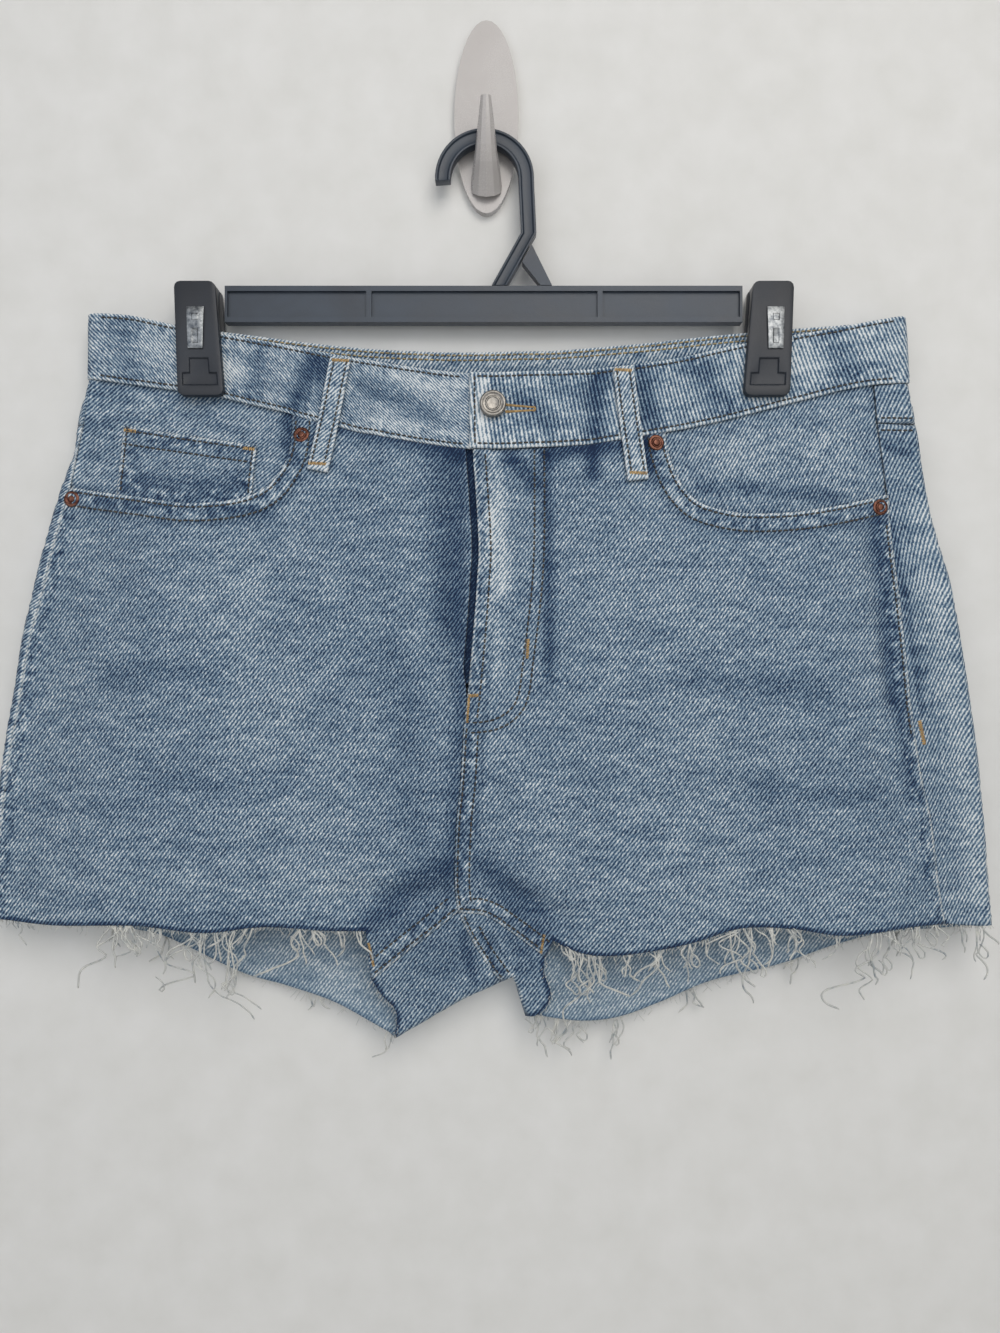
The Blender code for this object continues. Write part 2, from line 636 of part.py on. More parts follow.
def build_yokes(collection, right_fold, left_fold, right_yoke, left_yoke):
    band_line = [p + np.array((0.0, -SEAM_GAP)) for p in curve(BACK_BAND_FOOT)]
    right_above = between(right_fold, -159.0, -184.7)
    left_above = between(left_fold, -161.2, -183.6)
    cloth("yoke_right", [
        ("back", [
            ("fold", right_above),
            ("seam", right_yoke[1:]),
            ("seam", curve(YOKE_MIDDLE)[1:-1]),
            ("seam", [p for p in band_line if p[0] < 4.0][::-1][:-1]),
        ]),
        ("front", [
            ("fold", right_above),
            ("seam", between(RIGHT_SIDE_TOP, -159.0, -184.7, True)),
        ]),
    ], collection)
    cloth("yoke_left", [
        ("back", [
            ("fold", left_above),
            ("seam", left_yoke[::-1][1:]),
            ("seam", curve(YOKE_MIDDLE)[1:-1]),
            ("seam", [p for p in band_line if p[0] > 4.0][:-1]),
        ]),
        ("front", [
            ("fold", left_above),
            ("seam", between(LEFT_SIDE_TOP, -162.6, -183.9, True)),
        ]),
    ], collection)


def build_facings(collection, band_edge):
    """The pocket facings that show in the openings, and reach a little under the front panels."""
    deep = -(CLOTH + LAYER_GAP)
    under = FACING["under"]
    right_scoop_corner, right_side_corner = [np.array(point) for point in FACING_CORNERS["right"]]
    left_scoop_corner, left_side_corner = [np.array(point) for point in FACING_CORNERS["left"]]
    right_foot = [p + np.array((0.0, -under)) for p in curve(RIGHT_SCOOP, 12.0)[4:-1]]
    left_foot = [p + np.array((0.0, -under)) for p in curve(LEFT_SCOOP, 12.0)[4:-1]]
    cloth("facing_right", [("front", [
        ("seam", band_edge(FACING["right_top_x"], RIGHT_SCOOP[0][0] + under)),
        ("seam", [right_scoop_corner]),
        ("seam", right_foot),
        ("seam", [right_side_corner]),
        ("seam", shifted(between(RIGHT_SIDE_TOP, -160.5, -221.8, True), FACING["lap_in"])),
    ])], collection, out=deep, step=11.0)
    cloth("facing_left", [("front", [
        ("seam", band_edge(LEFT_SCOOP[0][0] - under, FACING["left_top_x"])),
        ("seam", between(LEFT_SIDE_TOP, -163.0, -226.2)),
        ("seam", [left_side_corner]),
        ("seam", left_foot[::-1]),
        ("seam", [left_scoop_corner]),
    ])], collection, out=deep, step=11.0)
    coin = [np.array(point) for point in COIN_POCKET]
    cloth("coin_pocket", [("front", [("edge", coin)])], collection,
          out=deep + CLOTH + POCKET_LIFT["coin"], step=9.0)


def build_fly(collection, fly_edge):
    """The zip tape and the fly shield behind the fly edge."""
    line = between(fly_edge, *FLY_BACKING_Z)
    for name, layers_down, from_edge, to_edge in FLY_BACKING:
        near = shifted(line, from_edge)
        far = shifted(line, to_edge)
        cloth(name, [("front", [("edge", near), ("edge", far[::-1])])], collection,
              out=-layers_down * (CLOTH + LAYER_GAP), step=14.0, colour="denim_inside")


def build_back_pockets(collection):
    for side, (x, z, turn) in BACK_POCKETS.items():
        angle = math.radians(turn)
        corners = []
        for across, down in BACK_POCKET:
            corners.append(np.array((
                x + across * math.cos(angle) - down * math.sin(angle),
                z + across * math.sin(angle) + down * math.cos(angle),
            )))
        outline = []
        for start, end in zip(corners, corners[1:] + corners[:1]):
            outline += [start + (end - start) * share for share in (0.0, 0.25, 0.5, 0.75)]
        cloth(f"back_pocket_{side}", [("back", [("edge", outline)])], collection,
              out=CLOTH + POCKET_LIFT["back"])


def build_belt_loops(collection):
    for name, layer, top_x, top_z, foot_x, foot_z in BELT_LOOPS:
        top = np.array((top_x, top_z))
        foot = np.array((foot_x, foot_z))
        along = (foot - top) / np.linalg.norm(foot - top)
        across = np.array((-along[1], along[0])) * LOOP_WIDTH / 2
        outward = -1.0 if layer == "front" else 1.0
        stations = []
        for share in np.linspace(0.0, 1.0, 7):
            middle = top + (foot - top) * share
            points = np.array([middle - across, middle, middle + across])
            rise = LOOP_BOW["rise"] * math.sin(math.pi * min(share / LOOP_BOW["rise_share"], 1.0))
            drop = LOOP_BOW["drop"] * float(smooth((share - LOOP_BOW["drop_from"]) / LOOP_BOW["drop_share"]))
            y = depth(points, layer) + outward * (LOOP_STAND + rise - drop)
            order = [(p[0], deep, p[1]) for p, deep in zip(points, y)]
            stations.append(order if layer == "front" else order[::-1])
        strip(name, stations, collection, LOOP_THICK)


def front_normal(x, z):
    """The direction that the front cloth faces at a place."""
    span = 2.0
    around = np.array(((x - span, z), (x + span, z), (x, z - span), (x, z + span)))
    y = depth(around, "front")
    across = Vector((2 * span, y[1] - y[0], 0.0))
    upward = Vector((0.0, y[3] - y[2], 2 * span))
    return across.cross(upward).normalized()


def turned(name, profile, collection, colour, steps=24):
    """A turned piece: (radius, height) from its axis at the top down its outer side, by a Screw modifier."""
    mesh = bmesh.new()
    verts = [mesh.verts.new((radius * MM, 0.0, height * MM)) for radius, height in profile]
    for start, end in zip(verts, verts[1:]):
        mesh.edges.new((start, end))
    obj = finish_mesh(name, mesh, colour, collection)
    screw = obj.modifiers.new("Turn", "SCREW")
    screw.axis = "Z"
    screw.steps = steps
    screw.render_steps = steps
    screw.use_merge_vertices = True
    screw.merge_threshold = 0.00001
    return obj


def place_on_front(obj, x, z, lift):
    y = float(depth(np.array(((x, z),)), "front")[0])
    normal = front_normal(x, z)
    obj.rotation_mode = "QUATERNION"
    obj.rotation_quaternion = Vector((0.0, 0.0, 1.0)).rotation_difference(normal)
    obj.location = Vector((x, y, z)) * MM + normal * lift * MM


def build_button_and_rivets(collection):
    radius, thick = BUTTON["radius"], BUTTON["thick"]
    neck, neck_radius = BUTTON["neck"], BUTTON["neck_radius"]
    profile = (
        (0.0, neck + thick - 0.9), (3.6, neck + thick - 0.9), (4.4, neck + thick),
        (radius - 1.0, neck + thick), (radius, neck + thick - 1.0), (radius, neck + 0.6),
        (radius - 0.8, neck), (neck_radius, neck), (neck_radius, 0.0), (0.0, 0.0),
    )
    button = turned("button", profile, collection, "pewter", 28)
    place_on_front(button, BUTTON["x"], BUTTON["z"], BUTTON["lift"])
    radius, thick = RIVET["radius"], RIVET["thick"]
    profile = (
        (0.0, thick), (1.6, thick - 0.1), (2.2, thick - 0.7), (3.2, thick - 0.6), (radius - 0.6, thick - 0.5),
        (radius, 0.3), (radius, 0.0), (0.0, 0.0),
    )
    for name, x, z in RIVETS:
        rivet = turned(name, profile, collection, "copper", 20)
        place_on_front(rivet, x, z, RIVET["lift"])


def build_fringe(collection):
    """Plain curtains that hold the room of the loose threads under each raw hem."""
    hems = {
        "fringe_front_right": curve(RIGHT_FRONT_HEM),
        "fringe_front_left": [np.array(LEFT_OUTER_HEM_END)] + curve(LEFT_FRONT_HEM),
        "fringe_back_right": curve(RIGHT_BACK_HEM),
        "fringe_back_left": curve(LEFT_BACK_HEM),
    }
    for name, layer, from_x, to_x in FRINGES:
        line = hems[name]
        reach = FRINGE_REACH[layer]
        stations = []
        for x in np.linspace(from_x, to_x, FRINGE_STATIONS):
            z = height_on(line, x) - FRINGE_GAP
            points = np.array(((x, z), (x, z - reach / 2), (x, z - reach)))
            y = np.repeat(depth(points[:1], layer), 3)
            stations.append([(p[0], deep, p[1]) for p, deep in zip(points, y)])
        strip(name, stations, collection, FRINGE_THICK, "fringe")


def flat_piece(name, outline, y_range, collection, colour, bevel=0.0):
    """A flat outline in x and z, extruded between two depths."""
    data = bpy.data.curves.new(name, "CURVE")
    data.dimensions = "2D"
    data.fill_mode = "BOTH"
    data.extrude = abs(y_range[1] - y_range[0]) / 2 * MM
    spline = data.splines.new("POLY")
    spline.points.add(len(outline) - 1)
    for point, (x, z) in zip(spline.points, outline):
        point.co = (x * MM, z * MM, 0.0, 1.0)
    spline.use_cyclic_u = True
    guide = bpy.data.objects.new(name + "_outline", data)
    collection.objects.link(guide)
    guide.rotation_euler = (math.pi / 2, 0.0, 0.0)
    guide.location = (0.0, sum(y_range) / 2 * MM, 0.0)
    obj = mesh_from(guide, name, collection, colour)
    if bevel:
        rounding = obj.modifiers.new("Edges", "BEVEL")
        rounding.width = bevel * MM
        rounding.segments = 2
        rounding.limit_method = "ANGLE"
        rounding.angle_limit = math.radians(50)
    return obj


def mesh_from(guide, name, collection, colour):
    """A welded mesh object in place of a curve object."""
    bpy.context.view_layer.update()
    evaluated = guide.evaluated_get(bpy.context.evaluated_depsgraph_get())
    data = bpy.data.meshes.new_from_object(evaluated)
    data.name = name
    obj = bpy.data.objects.new(name, data)
    obj.matrix_world = guide.matrix_world.copy()
    collection.objects.link(obj)
    bpy.data.objects.remove(guide, do_unlink=True)
    mesh = bmesh.new()
    mesh.from_mesh(data)
    bmesh.ops.remove_doubles(mesh, verts=mesh.verts, dist=0.00001)
    bmesh.ops.recalc_face_normals(mesh, faces=mesh.faces)
    mesh.to_mesh(data)
    mesh.free()
    obj.data.materials.clear()
    obj.data.materials.append(material(colour))
    return obj


def box(name, low, high, collection, colour):
    mesh = bmesh.new()
    size = [(b - a) * MM for a, b in zip(low, high)]
    centre = [(a + b) / 2 * MM for a, b in zip(low, high)]
    matrix = Matrix.Translation(centre) @ Matrix.Diagonal((*size, 1.0))
    bmesh.ops.create_cube(mesh, size=1.0, matrix=matrix)
    return finish_mesh(name, mesh, colour, collection)


def band_outline(line, width):
    """The outline of a flat band of one width along a line, with square ends."""
    line = [np.array(point, float) for point in line]
    near = []
    far = []
    for before, point, after in zip([line[0]] + line, line, line[1:] + [line[-1]]):
        along = (after - before) / np.linalg.norm(after - before)
        normal = np.array((-along[1], along[0])) * width / 2
        near.append(point + normal)
        far.append(point - normal)
    return [tuple(point) for point in near + far[::-1]]


def build_bar(collection, cutters):
    top, foot, rim = BAR["top"], BAR["foot"], BAR["rim"]
    bar = box("hanger_bar", (BAR["from_x"], HANGER_Y[0], foot), (BAR["to_x"], HANGER_Y[1], top),
              collection, "hanger_plastic")
    cells = (BAR["from_x"],) + BAR_RIBS + (BAR["to_x"],)
    for number, (start, end) in enumerate(zip(cells, cells[1:])):
        for face, (near, far) in (("front", (HANGER_Y[0] - 1, HANGER_Y[0] + BAR["recess"])),
                                  ("back", (HANGER_Y[1] - BAR["recess"], HANGER_Y[1] + 1))):
            cutter = box(f"cut_bar_{face}_{number}", (start + rim / 2, near, foot + rim),
                         (end - rim / 2, far, top - rim), cutters, "hanger_plastic")
            cutter.hide_render = True
            cutter.display_type = "WIRE"
            cut = bar.modifiers.new(f"Recess {face} {number}", "BOOLEAN")
            cut.operation = "DIFFERENCE"
            cut.object = cutter


def build_hook(collection):
    x, z, radius = HOOK_ARC["x"], HOOK_ARC["z"], HOOK_ARC["radius"]
    line = []
    for number in range(19):
        angle = math.radians(184 - number * 184 / 18)
        line.append((x + radius * math.cos(angle), z + radius * math.sin(angle)))
    line += curve(HOOK_SHANK[:2], 16.0)[1:]
    line += [HOOK_SHANK[2]]
    outline = band_outline(line, HOOK_ARC["width"])
    level_foot = HOOK_SHANK[2][1]
    outline = [(x, max(z, level_foot)) for x, z in outline]
    flat_piece("hanger_hook", outline, HANGER_Y, collection, "hanger_plastic", bevel=EDGE_ROUNDING["hook"])
    flat_piece("hanger_strut", STRUT, HANGER_Y, collection, "hanger_plastic")


def jaw_outline(side):
    """A jaw seen from the front: wider at its foot, leaning a little, with cut corners."""
    lean = CLIP_LEAN[side] / 2
    top_x, foot_x = CLIPS[side] - lean, CLIPS[side] + lean
    wide, narrow = JAW_FOOT_WIDTH / 2, JAW_TOP_WIDTH / 2
    corner = JAW_CORNER
    return (
        (top_x - narrow + corner, JAW_TOP), (top_x + narrow - corner, JAW_TOP),
        (top_x + narrow, JAW_TOP - corner), (foot_x + wide, JAW_FOOT + corner),
        (foot_x + wide - corner, JAW_FOOT), (foot_x - wide + corner, JAW_FOOT),
        (foot_x - wide, JAW_FOOT + corner), (top_x - narrow, JAW_TOP - corner),
    )


def build_clips(collection):
    for side, x in CLIPS.items():
        outline = jaw_outline(side)
        flat_piece(f"clip_{side}_front", outline, JAW_FRONT, collection, "hanger_plastic",
                   bevel=EDGE_ROUNDING["front_jaw"])
        flat_piece(f"clip_{side}_back", outline, JAW_BACK, collection, "hanger_plastic",
                   bevel=EDGE_ROUNDING["back_jaw"])
        top_x = x - CLIP_LEAN[side] / 2
        half = JAW_TOP_WIDTH / 2 - 1.0
        bridge_y = (JAW_FRONT[1] + PART_GAP, JAW_BACK[0] - PART_GAP)
        box(f"clip_{side}_bridge", (top_x - half, bridge_y[0], JAW_BRIDGE_FOOT),
            (top_x + half, bridge_y[1], JAW_TOP - 1.0), collection, "hanger_plastic")
        spring_x = top_x + SPRING["off_middle"]
        spring_y = JAW_FRONT[0] - PART_GAP
        half = SPRING["width"] / 2
        box(f"clip_{side}_spring", (spring_x - half, spring_y - SPRING["thick"], SPRING["foot"]),
            (spring_x + half, spring_y, SPRING["top"]), collection, "nickel")


def build_wall_hook(collection, cutters):
    outline = []
    for number in range(PLATE["sides"]):
        angle = 2 * math.pi * number / PLATE["sides"]
        outline.append((PLATE["half_width"] * math.cos(angle), PLATE["half_height"] * math.sin(angle)))
    plate = flat_piece("wall_hook", outline, (-PLATE["thick"], 0.0), collection, "hook_plastic")
    data = bpy.data.curves.new("prong", "CURVE")
    data.dimensions = "3D"
    data.bevel_depth = MM
    data.bevel_resolution = 4
    data.use_fill_caps = True
    spline = data.splines.new("POLY")
    route = curve([(y, z) for y, z, _ in PRONG], 4.0)
    spline.points.add(len(route) - 1)
    rise = [p[1] for p in PRONG]
    radii = [p[2] for p in PRONG]
    for point, (y, z) in zip(spline.points, route):
        point.co = (0.0, y * MM, z * MM, 1.0)
        point.radius = float(np.interp(z, rise, radii))
    guide = bpy.data.objects.new("prong_route", data)
    cutters.objects.link(guide)
    prong = mesh_from(guide, "wall_hook_prong", cutters, "hook_plastic")
    prong.hide_render = True
    prong.display_type = "WIRE"
    wall = box("cut_wall", *WALL_CUT, cutters, "hook_plastic")
    wall.hide_render = True
    wall.display_type = "WIRE"
    join = plate.modifiers.new("Prong", "BOOLEAN")
    join.operation = "UNION"
    join.object = prong
    trim = plate.modifiers.new("Flat back", "BOOLEAN")
    trim.operation = "DIFFERENCE"
    trim.object = wall


def main():
    clear_scene()
    shorts = new_collection("denim_shorts_on_clip_hanger")
    cutters = new_collection("cutters", hidden=True)
    build_panels(shorts)
    build_waistband(shorts)
    build_back_pockets(shorts)
    build_belt_loops(shorts)
    build_button_and_rivets(shorts)
    build_fringe(shorts)
    build_bar(shorts, cutters)
    build_hook(shorts)
    build_clips(shorts)
    build_wall_hook(shorts, cutters)


main()
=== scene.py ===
import json
import math
import random
import bmesh
import bpy
import numpy as np
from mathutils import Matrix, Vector
from mathutils.bvhtree import BVHTree
from mathutils.geometry import delaunay_2d_cdt

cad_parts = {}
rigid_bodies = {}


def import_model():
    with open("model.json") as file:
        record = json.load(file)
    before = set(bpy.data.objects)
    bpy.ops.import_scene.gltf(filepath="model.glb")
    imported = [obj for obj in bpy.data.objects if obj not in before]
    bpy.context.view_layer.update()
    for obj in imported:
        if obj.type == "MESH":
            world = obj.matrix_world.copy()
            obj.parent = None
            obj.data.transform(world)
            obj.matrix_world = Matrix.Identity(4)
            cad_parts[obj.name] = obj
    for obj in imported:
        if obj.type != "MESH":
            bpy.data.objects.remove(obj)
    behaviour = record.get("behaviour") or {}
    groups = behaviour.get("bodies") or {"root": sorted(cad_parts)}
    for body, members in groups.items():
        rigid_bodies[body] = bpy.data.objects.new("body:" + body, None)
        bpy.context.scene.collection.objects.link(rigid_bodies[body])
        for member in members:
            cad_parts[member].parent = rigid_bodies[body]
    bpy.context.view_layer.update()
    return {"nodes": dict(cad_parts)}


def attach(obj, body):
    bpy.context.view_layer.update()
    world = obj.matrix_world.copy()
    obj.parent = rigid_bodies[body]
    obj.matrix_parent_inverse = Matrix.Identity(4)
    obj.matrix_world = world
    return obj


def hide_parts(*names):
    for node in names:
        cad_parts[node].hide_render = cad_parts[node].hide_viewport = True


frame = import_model()
print("stage: frame loaded")

# Everything is in metres in the frame. The tables below are in millimetres, as a pattern cutter writes them.
# Right and left are the wearer's: right is at -x. The wall is y = 0 and the garment hangs at negative y.
mm = 0.001

cloth = {
    "thickness": 1.15,  # a washed 12 oz denim with its nap
    "bandThickness": 2.6,
    "bandProud": 0.7,
    "foldRadius": 4.0,
    "foldEase": 80.0,
    "foldRows": (0.3, 0.8, 1.5, 2.4, 3.6, 5.4, 8.0),
    "frontStep": 2.7,
    "backStep": 3.3,
    "centreX": 5.0,
    "centreReach": 110.0,
    "seamGap": 0.12,
    "foldDepth": 1.5,  # times the heights in the tables of folds
}
clips = {"right": -165.4, "left": 163.0, "pinch": 2.0, "y": -13.0, "half": 14.0, "foot": -171.0, "ease": 60.0}

# z, fold y, centre y, centre half depth, leg y, leg half depth
levels = np.array((
    (-115, -13.0, -17.0, 11.0, -13.0, 5.0), (-170, -13.5, -17.5, 12.0, -14.0, 7.0),
    (-230, -16.0, -19.0, 13.5, -17.5, 12.0), (-300, -18.5, -20.5, 14.5, -20.0, 15.5),
    (-380, -21.0, -21.0, 14.0, -21.5, 17.0), (-450, -22.0, -21.5, 12.0, -22.0, 16.5),
    (-545, -22.0, -22.0, 10.0, -22.0, 15.0),
), float)[::-1]

# Folds of the hanging cloth: from x, from z, to x, to z, half width, height (a valley is negative)
frontFolds = (
    (-17, -212, -16, -338, 11, -3.0), (-24, -455, -78, -452, 13, -2.5), (16, -452, 42, -466, 10, -2.0),
    (219, -250, 229, -345, 8, -1.6), (-70, -170, -76, -205, 9, -1.8), (-176, -255, -150, -430, 45, 1.6),
    (120, -262, 96, -440, 50, 1.8), (-210, -300, -120, -318, 10, -0.5), (-188, -338, -70, -352, 12, 0.5),
    (-230, -392, -110, -380, 11, -0.5), (60, -300, 150, -288, 12, -0.5), (100, -352, 205, -366, 12, 0.5),
    (70, -405, 160, -392, 10, -0.45), (215, -365, 236, -400, 7, -1.0), (222, -268, 205, -280, 4, -0.6),
    (226, -298, 206, -306, 4, -0.6), (228, -325, 208, -330, 5, -0.5), (34, -205, 46, -262, 9, -0.8),
    (-36, -215, -52, -300, 14, 0.8), (-118, -160, -112, -180, 7, 0.8), (60, -160, 58, -200, 8, -0.9),
    (92, -165, 94, -196, 6, 0.7), (-40, -400, -24, -450, 9, -0.9), (12, -395, 6, -448, 9, -0.9),
)
crotchFolds = (
    (-11.5, -470, -3.0, -498, 2.2, -0.83), (-8.0, -468, 1.5, -500, 2.4, 0.88),
    (-4.5, -468, 5.5, -502, 1.8, -0.83), (-2.0, -468, 9.5, -503, 2.2, 0.83),
    (1.5, -470, 12.0, -500, 1.7, -0.72), (-19.0, -476, -8.0, -504, 4.0, 0.44),
    (6.0, -474, 22.0, -516, 2.6, 1.1), (11.0, -482, 27.0, -516, 2.0, -0.66),
)
backFolds = (
    (-40, -455, -110, -440, 13, 1.6), (34, -450, 110, -430, 13, 1.6), (-62, -440, -150, -418, 9, -1.0),
    (60, -432, 150, -414, 9, -1.0), (-180, -240, -160, -300, 16, 1.0), (176, -238, 160, -300, 16, 1.0),
    (-235, -300, -190, -330, 8, -0.8), (240, -310, 196, -336, 8, -0.8),
)

rightFold = (
    (-230.2, -120.3), (-230.6, -158.3), (-234.0, -172.0), (-237.0, -185.0), (-238.5, -201.0),
    (-245.0, -220.0), (-254.0, -251.0), (-261.2, -282.5), (-266.8, -308.6), (-270.8, -338.0),
    (-275.8, -369.0), (-279.5, -401.0), (-282.2, -430.0), (-283.8, -468.7),
)
leftFold = (
    (242.7, -121.5), (244.9, -160.6), (247.1, -174.0), (250.0, -192.0), (253.5, -221.0),
    (260.3, -251.0), (267.5, -278.0), (274.0, -317.0), (278.0, -348.0), (281.6, -378.0),
    (284.6, -410.0), (286.8, -444.0), (289.4, -472.7),
)
rightInnerFold = ((-52.4, -537.1), (-31.7, -525.1), (-14.0, -515.0), (8.8, -504.7))
leftInnerFold = ((9.2, -504.5), (15.5, -502.0), (18.9, -511.8), (23.0, -524.5))
bandTop = (
    (-230.2, -120.3), (-206.5, -121.3), (-181.9, -126.1), (-137.1, -134.4), (-89.9, -144.6),
    (-49.1, -152.4), (-9.3, -158.2), (30.7, -157.4), (65.2, -154.4), (106.1, -147.7),
    (147.4, -137.7), (193.7, -129.9), (242.7, -121.5),
)
bandFoot = (
    (-230.6, -158.3), (-180.2, -164.5), (-156.4, -168.0), (-117.7, -177.8), (-100.9, -183.2),
    (-54.6, -194.5), (-9.3, -201.6), (30.6, -200.9), (64.8, -197.4), (111.4, -188.7),
    (182.2, -170.5), (216.1, -163.0), (244.9, -160.6),
)
backBandTop = (
    (-230.2, -120.3), (-91.9, -135.5), (-33.2, -139.0), (16.8, -138.5), (66.9, -136.5), (242.7, -121.5),
)
backBandFoot = (
    (-230.6, -158.3), (-91.9, -175.5), (-33.2, -180.0), (16.8, -180.0), (66.9, -177.0), (244.9, -160.6),
)
flyEdge = (
    (-7.4, -202.0), (-4.1, -253.0), (-4.9, -276.0), (-6.3, -297.0), (-9.8, -337.0),
    (-12.2, -358.5), (-14.0, -389.0), (-16.3, -412.0), (-17.4, -445.0), (-15.5, -463.0),
)
flyCurve = (
    (30.6, -201.5), (30.5, -253.2), (28.8, -283.7), (24.3, -320.8), (21.5, -341.0), (16.0, -351.0),
    (5.0, -357.5), (-11.0, -359.5),
)
rightScoop = (
    (-111.0, -180.2), (-111.2, -197.8), (-114.0, -209.5), (-122.0, -221.5), (-134.4, -228.5),
    (-152.4, -231.8), (-171.2, -232.4), (-190.1, -229.6), (-217.0, -225.5), (-239.2, -221.8),
)
leftScoop = (
    (102.4, -190.6), (102.4, -196.5), (104.3, -205.6), (108.1, -217.3), (114.1, -226.6),
    (123.1, -233.5), (143.9, -238.1), (172.3, -237.5), (197.3, -233.8), (229.9, -226.2),
)
rightSideTop = ((-228.8, -158.6), (-232.5, -185.0), (-239.2, -221.8))
rightSideSeam = (
    (-239.2, -221.8), (-247.6, -251.7), (-254.4, -283.0), (-262.0, -313.0), (-266.6, -344.0),
    (-271.5, -372.0), (-275.5, -405.0), (-277.9, -430.0), (-278.4, -468.0),
)
leftSideTop = ((224.0, -161.9), (225.7, -184.5), (229.9, -226.2))
leftSideSeam = (
    (229.9, -226.2), (231.9, -252.0), (234.5, -283.0), (238.2, -320.8), (240.5, -351.4),
    (246.0, -389.0), (251.3, -412.0), (255.9, -450.0), (259.5, -470.0),
)
rightFrontHem = (
    (-67.3, -472.6), (-87.2, -472.0), (-124.0, -469.6), (-157.6, -473.0), (-198.9, -468.8),
    (-246.7, -470.3), (-278.4, -468.0),
)
leftFrontHem = (
    (259.5, -470.0), (235.2, -471.0), (199.3, -474.7), (170.8, -470.8), (142.8, -470.2),
    (118.2, -477.5), (99.2, -482.1), (66.7, -487.3), (48.9, -484.8), (38.1, -479.5),
)
rightInseam = ((-15.5, -463.0), (-40.7, -482.4), (-64.6, -501.4))
leftInseam = ((33.7, -489.4), (14.3, -474.8), (-0.5, -465.0), (-15.5, -463.0))
seatSeamFront = ((-15.5, -463.0), (-8.5, -478.0), (1.0, -494.0), (9.0, -504.6))
rightRawEdge = ((-64.6, -501.4), (-59.0, -511.0), (-51.0, -521.0), (-52.4, -537.1))
leftRawEdge = ((23.0, -524.5), (31.5, -521.5), (37.1, -511.4), (33.0, -498.0), (33.7, -489.4))
yokeSeam = ((-237.0, -185.0), (-120.0, -204.0), (4.0, -226.0), (125.0, -204.0), (248.5, -184.0))
seatSeamBack = ((9.0, -504.6), (6.5, -440.0), (4.0, -340.0), (4.0, -226.0))
yokeMiddle = ((4.0, -226.0), (4.0, -180.0))
rightBackHem = (
    (-283.8, -468.7), (-240.0, -474.5), (-216.5, -477.8), (-194.3, -481.8), (-177.7, -488.6),
    (-142.7, -505.0), (-117.2, -512.0), (-85.5, -521.0), (-52.4, -537.1),
)
leftBackHem = (
    (23.0, -524.5), (55.8, -530.0), (78.5, -529.0), (102.5, -521.5), (131.5, -509.5),
    (172.3, -499.5), (206.1, -488.0), (240.0, -479.5), (289.4, -472.7),
)
coinPocketShape = (
    (-209.4, -185.5), (-131.8, -197.7), (-132.4, -229.2), (-152.4, -233.4), (-171.2, -234.0),
    (-190.1, -231.2), (-210.2, -228.0),
)
backPocketShape = ((-73.0, 0.0), (73.0, 0.0), (69.0, -128.0), (0.0, -158.0), (-69.0, -128.0))
backPocketPlaces = {"right": (-128.0, -252.0, 6.0), "left": (134.0, -252.0, -6.0)}


# ---- small helpers for lines and for the hanging form
def smooth(t):
    t = np.clip(t, 0.0, 1.0)
    return t * t * (3.0 - 2.0 * t)


def nearest(points, line):  # distance to a line, and how far along it the nearest place is
    points = np.asarray(points, float)
    line = np.asarray(line, float)
    best = np.full(len(points), 1e9)
    along = np.zeros(len(points))
    travelled = 0.0
    for start, end in zip(line, line[1:]):
        run = end - start
        length = math.hypot(*run)
        if length < 1e-6:
            continue
        t = np.clip((points - start) @ run / (length * length), 0.0, 1.0)
        away = np.hypot(*(points - start - t[:, None] * run).T)
        closer = away < best
        best[closer] = away[closer]
        along[closer] = travelled + t[closer] * length
        travelled += length
    return best, along


def nearestOf(points, lines):
    best = np.full(len(points), 1e9)
    along = np.zeros(len(points))
    for line in lines:
        away, place = nearest(points, line)
        closer = away < best
        best[closer] = away[closer]
        along[closer] = place[closer]
    return best, along


def levelAt(column, z):
    place = np.interp(z, levels[:, 0], np.arange(len(levels)))
    low = np.clip(np.floor(place).astype(int), 0, len(levels) - 2)
    return levels[low, column] + (levels[low + 1, column] - levels[low, column]) * smooth(place - low)


def foldHeights(points, folds):
    total = np.zeros(len(points))
    for fromX, fromZ, toX, toZ, halfWidth, height in folds:
        low, high = min(fromX, toX) - 3 * halfWidth, max(fromX, toX) + 3 * halfWidth
        near = (points[:, 0] > low) & (points[:, 0] < high)
        if near.any():
            away = nearest(points[near], ((fromX, fromZ), (toX, toZ)))[0] / halfWidth
            total[near] += height * np.exp(-2.0 * away * away)
    return total


def curveThrough(points, step=4.0):  # a smooth line through the points, with a point about every step
    points = [np.array(point, float) for point in points]
    ends = [2 * points[0] - points[1]] + points + [2 * points[-1] - points[-2]]
    line = []
    for before, start, end, after in zip(ends, ends[1:], ends[2:], ends[3:]):
        count = max(1, round(float(np.linalg.norm(end - start)) / step))
        for number in range(count):
            t = number / count
            bend = (2 * before - 5 * start + 4 * end - after) * t
            bend = bend + (3 * (start - end) + after - before) * t * t
            line.append(start + 0.5 * t * ((end - before) + bend))
    return line + [points[-1]]


foldLines = [curveThrough(line, 6.0) for line in (rightFold, leftFold, rightInnerFold, leftInnerFold)]


def ripple(points, seed):  # the slight unevenness of washed cloth, a few tenths of a millimetre
    x, z = points[:, 0], points[:, 1]
    total = np.zeros(len(points))
    for number in range(7):
        angle = 1.9 * number + seed
        wave = 34.0 + 17.0 * number
        across = x * math.cos(angle) + z * math.sin(angle)
        total += np.sin(across * 2 * math.pi / wave + 2.1 * number + seed)
    return total * 0.09


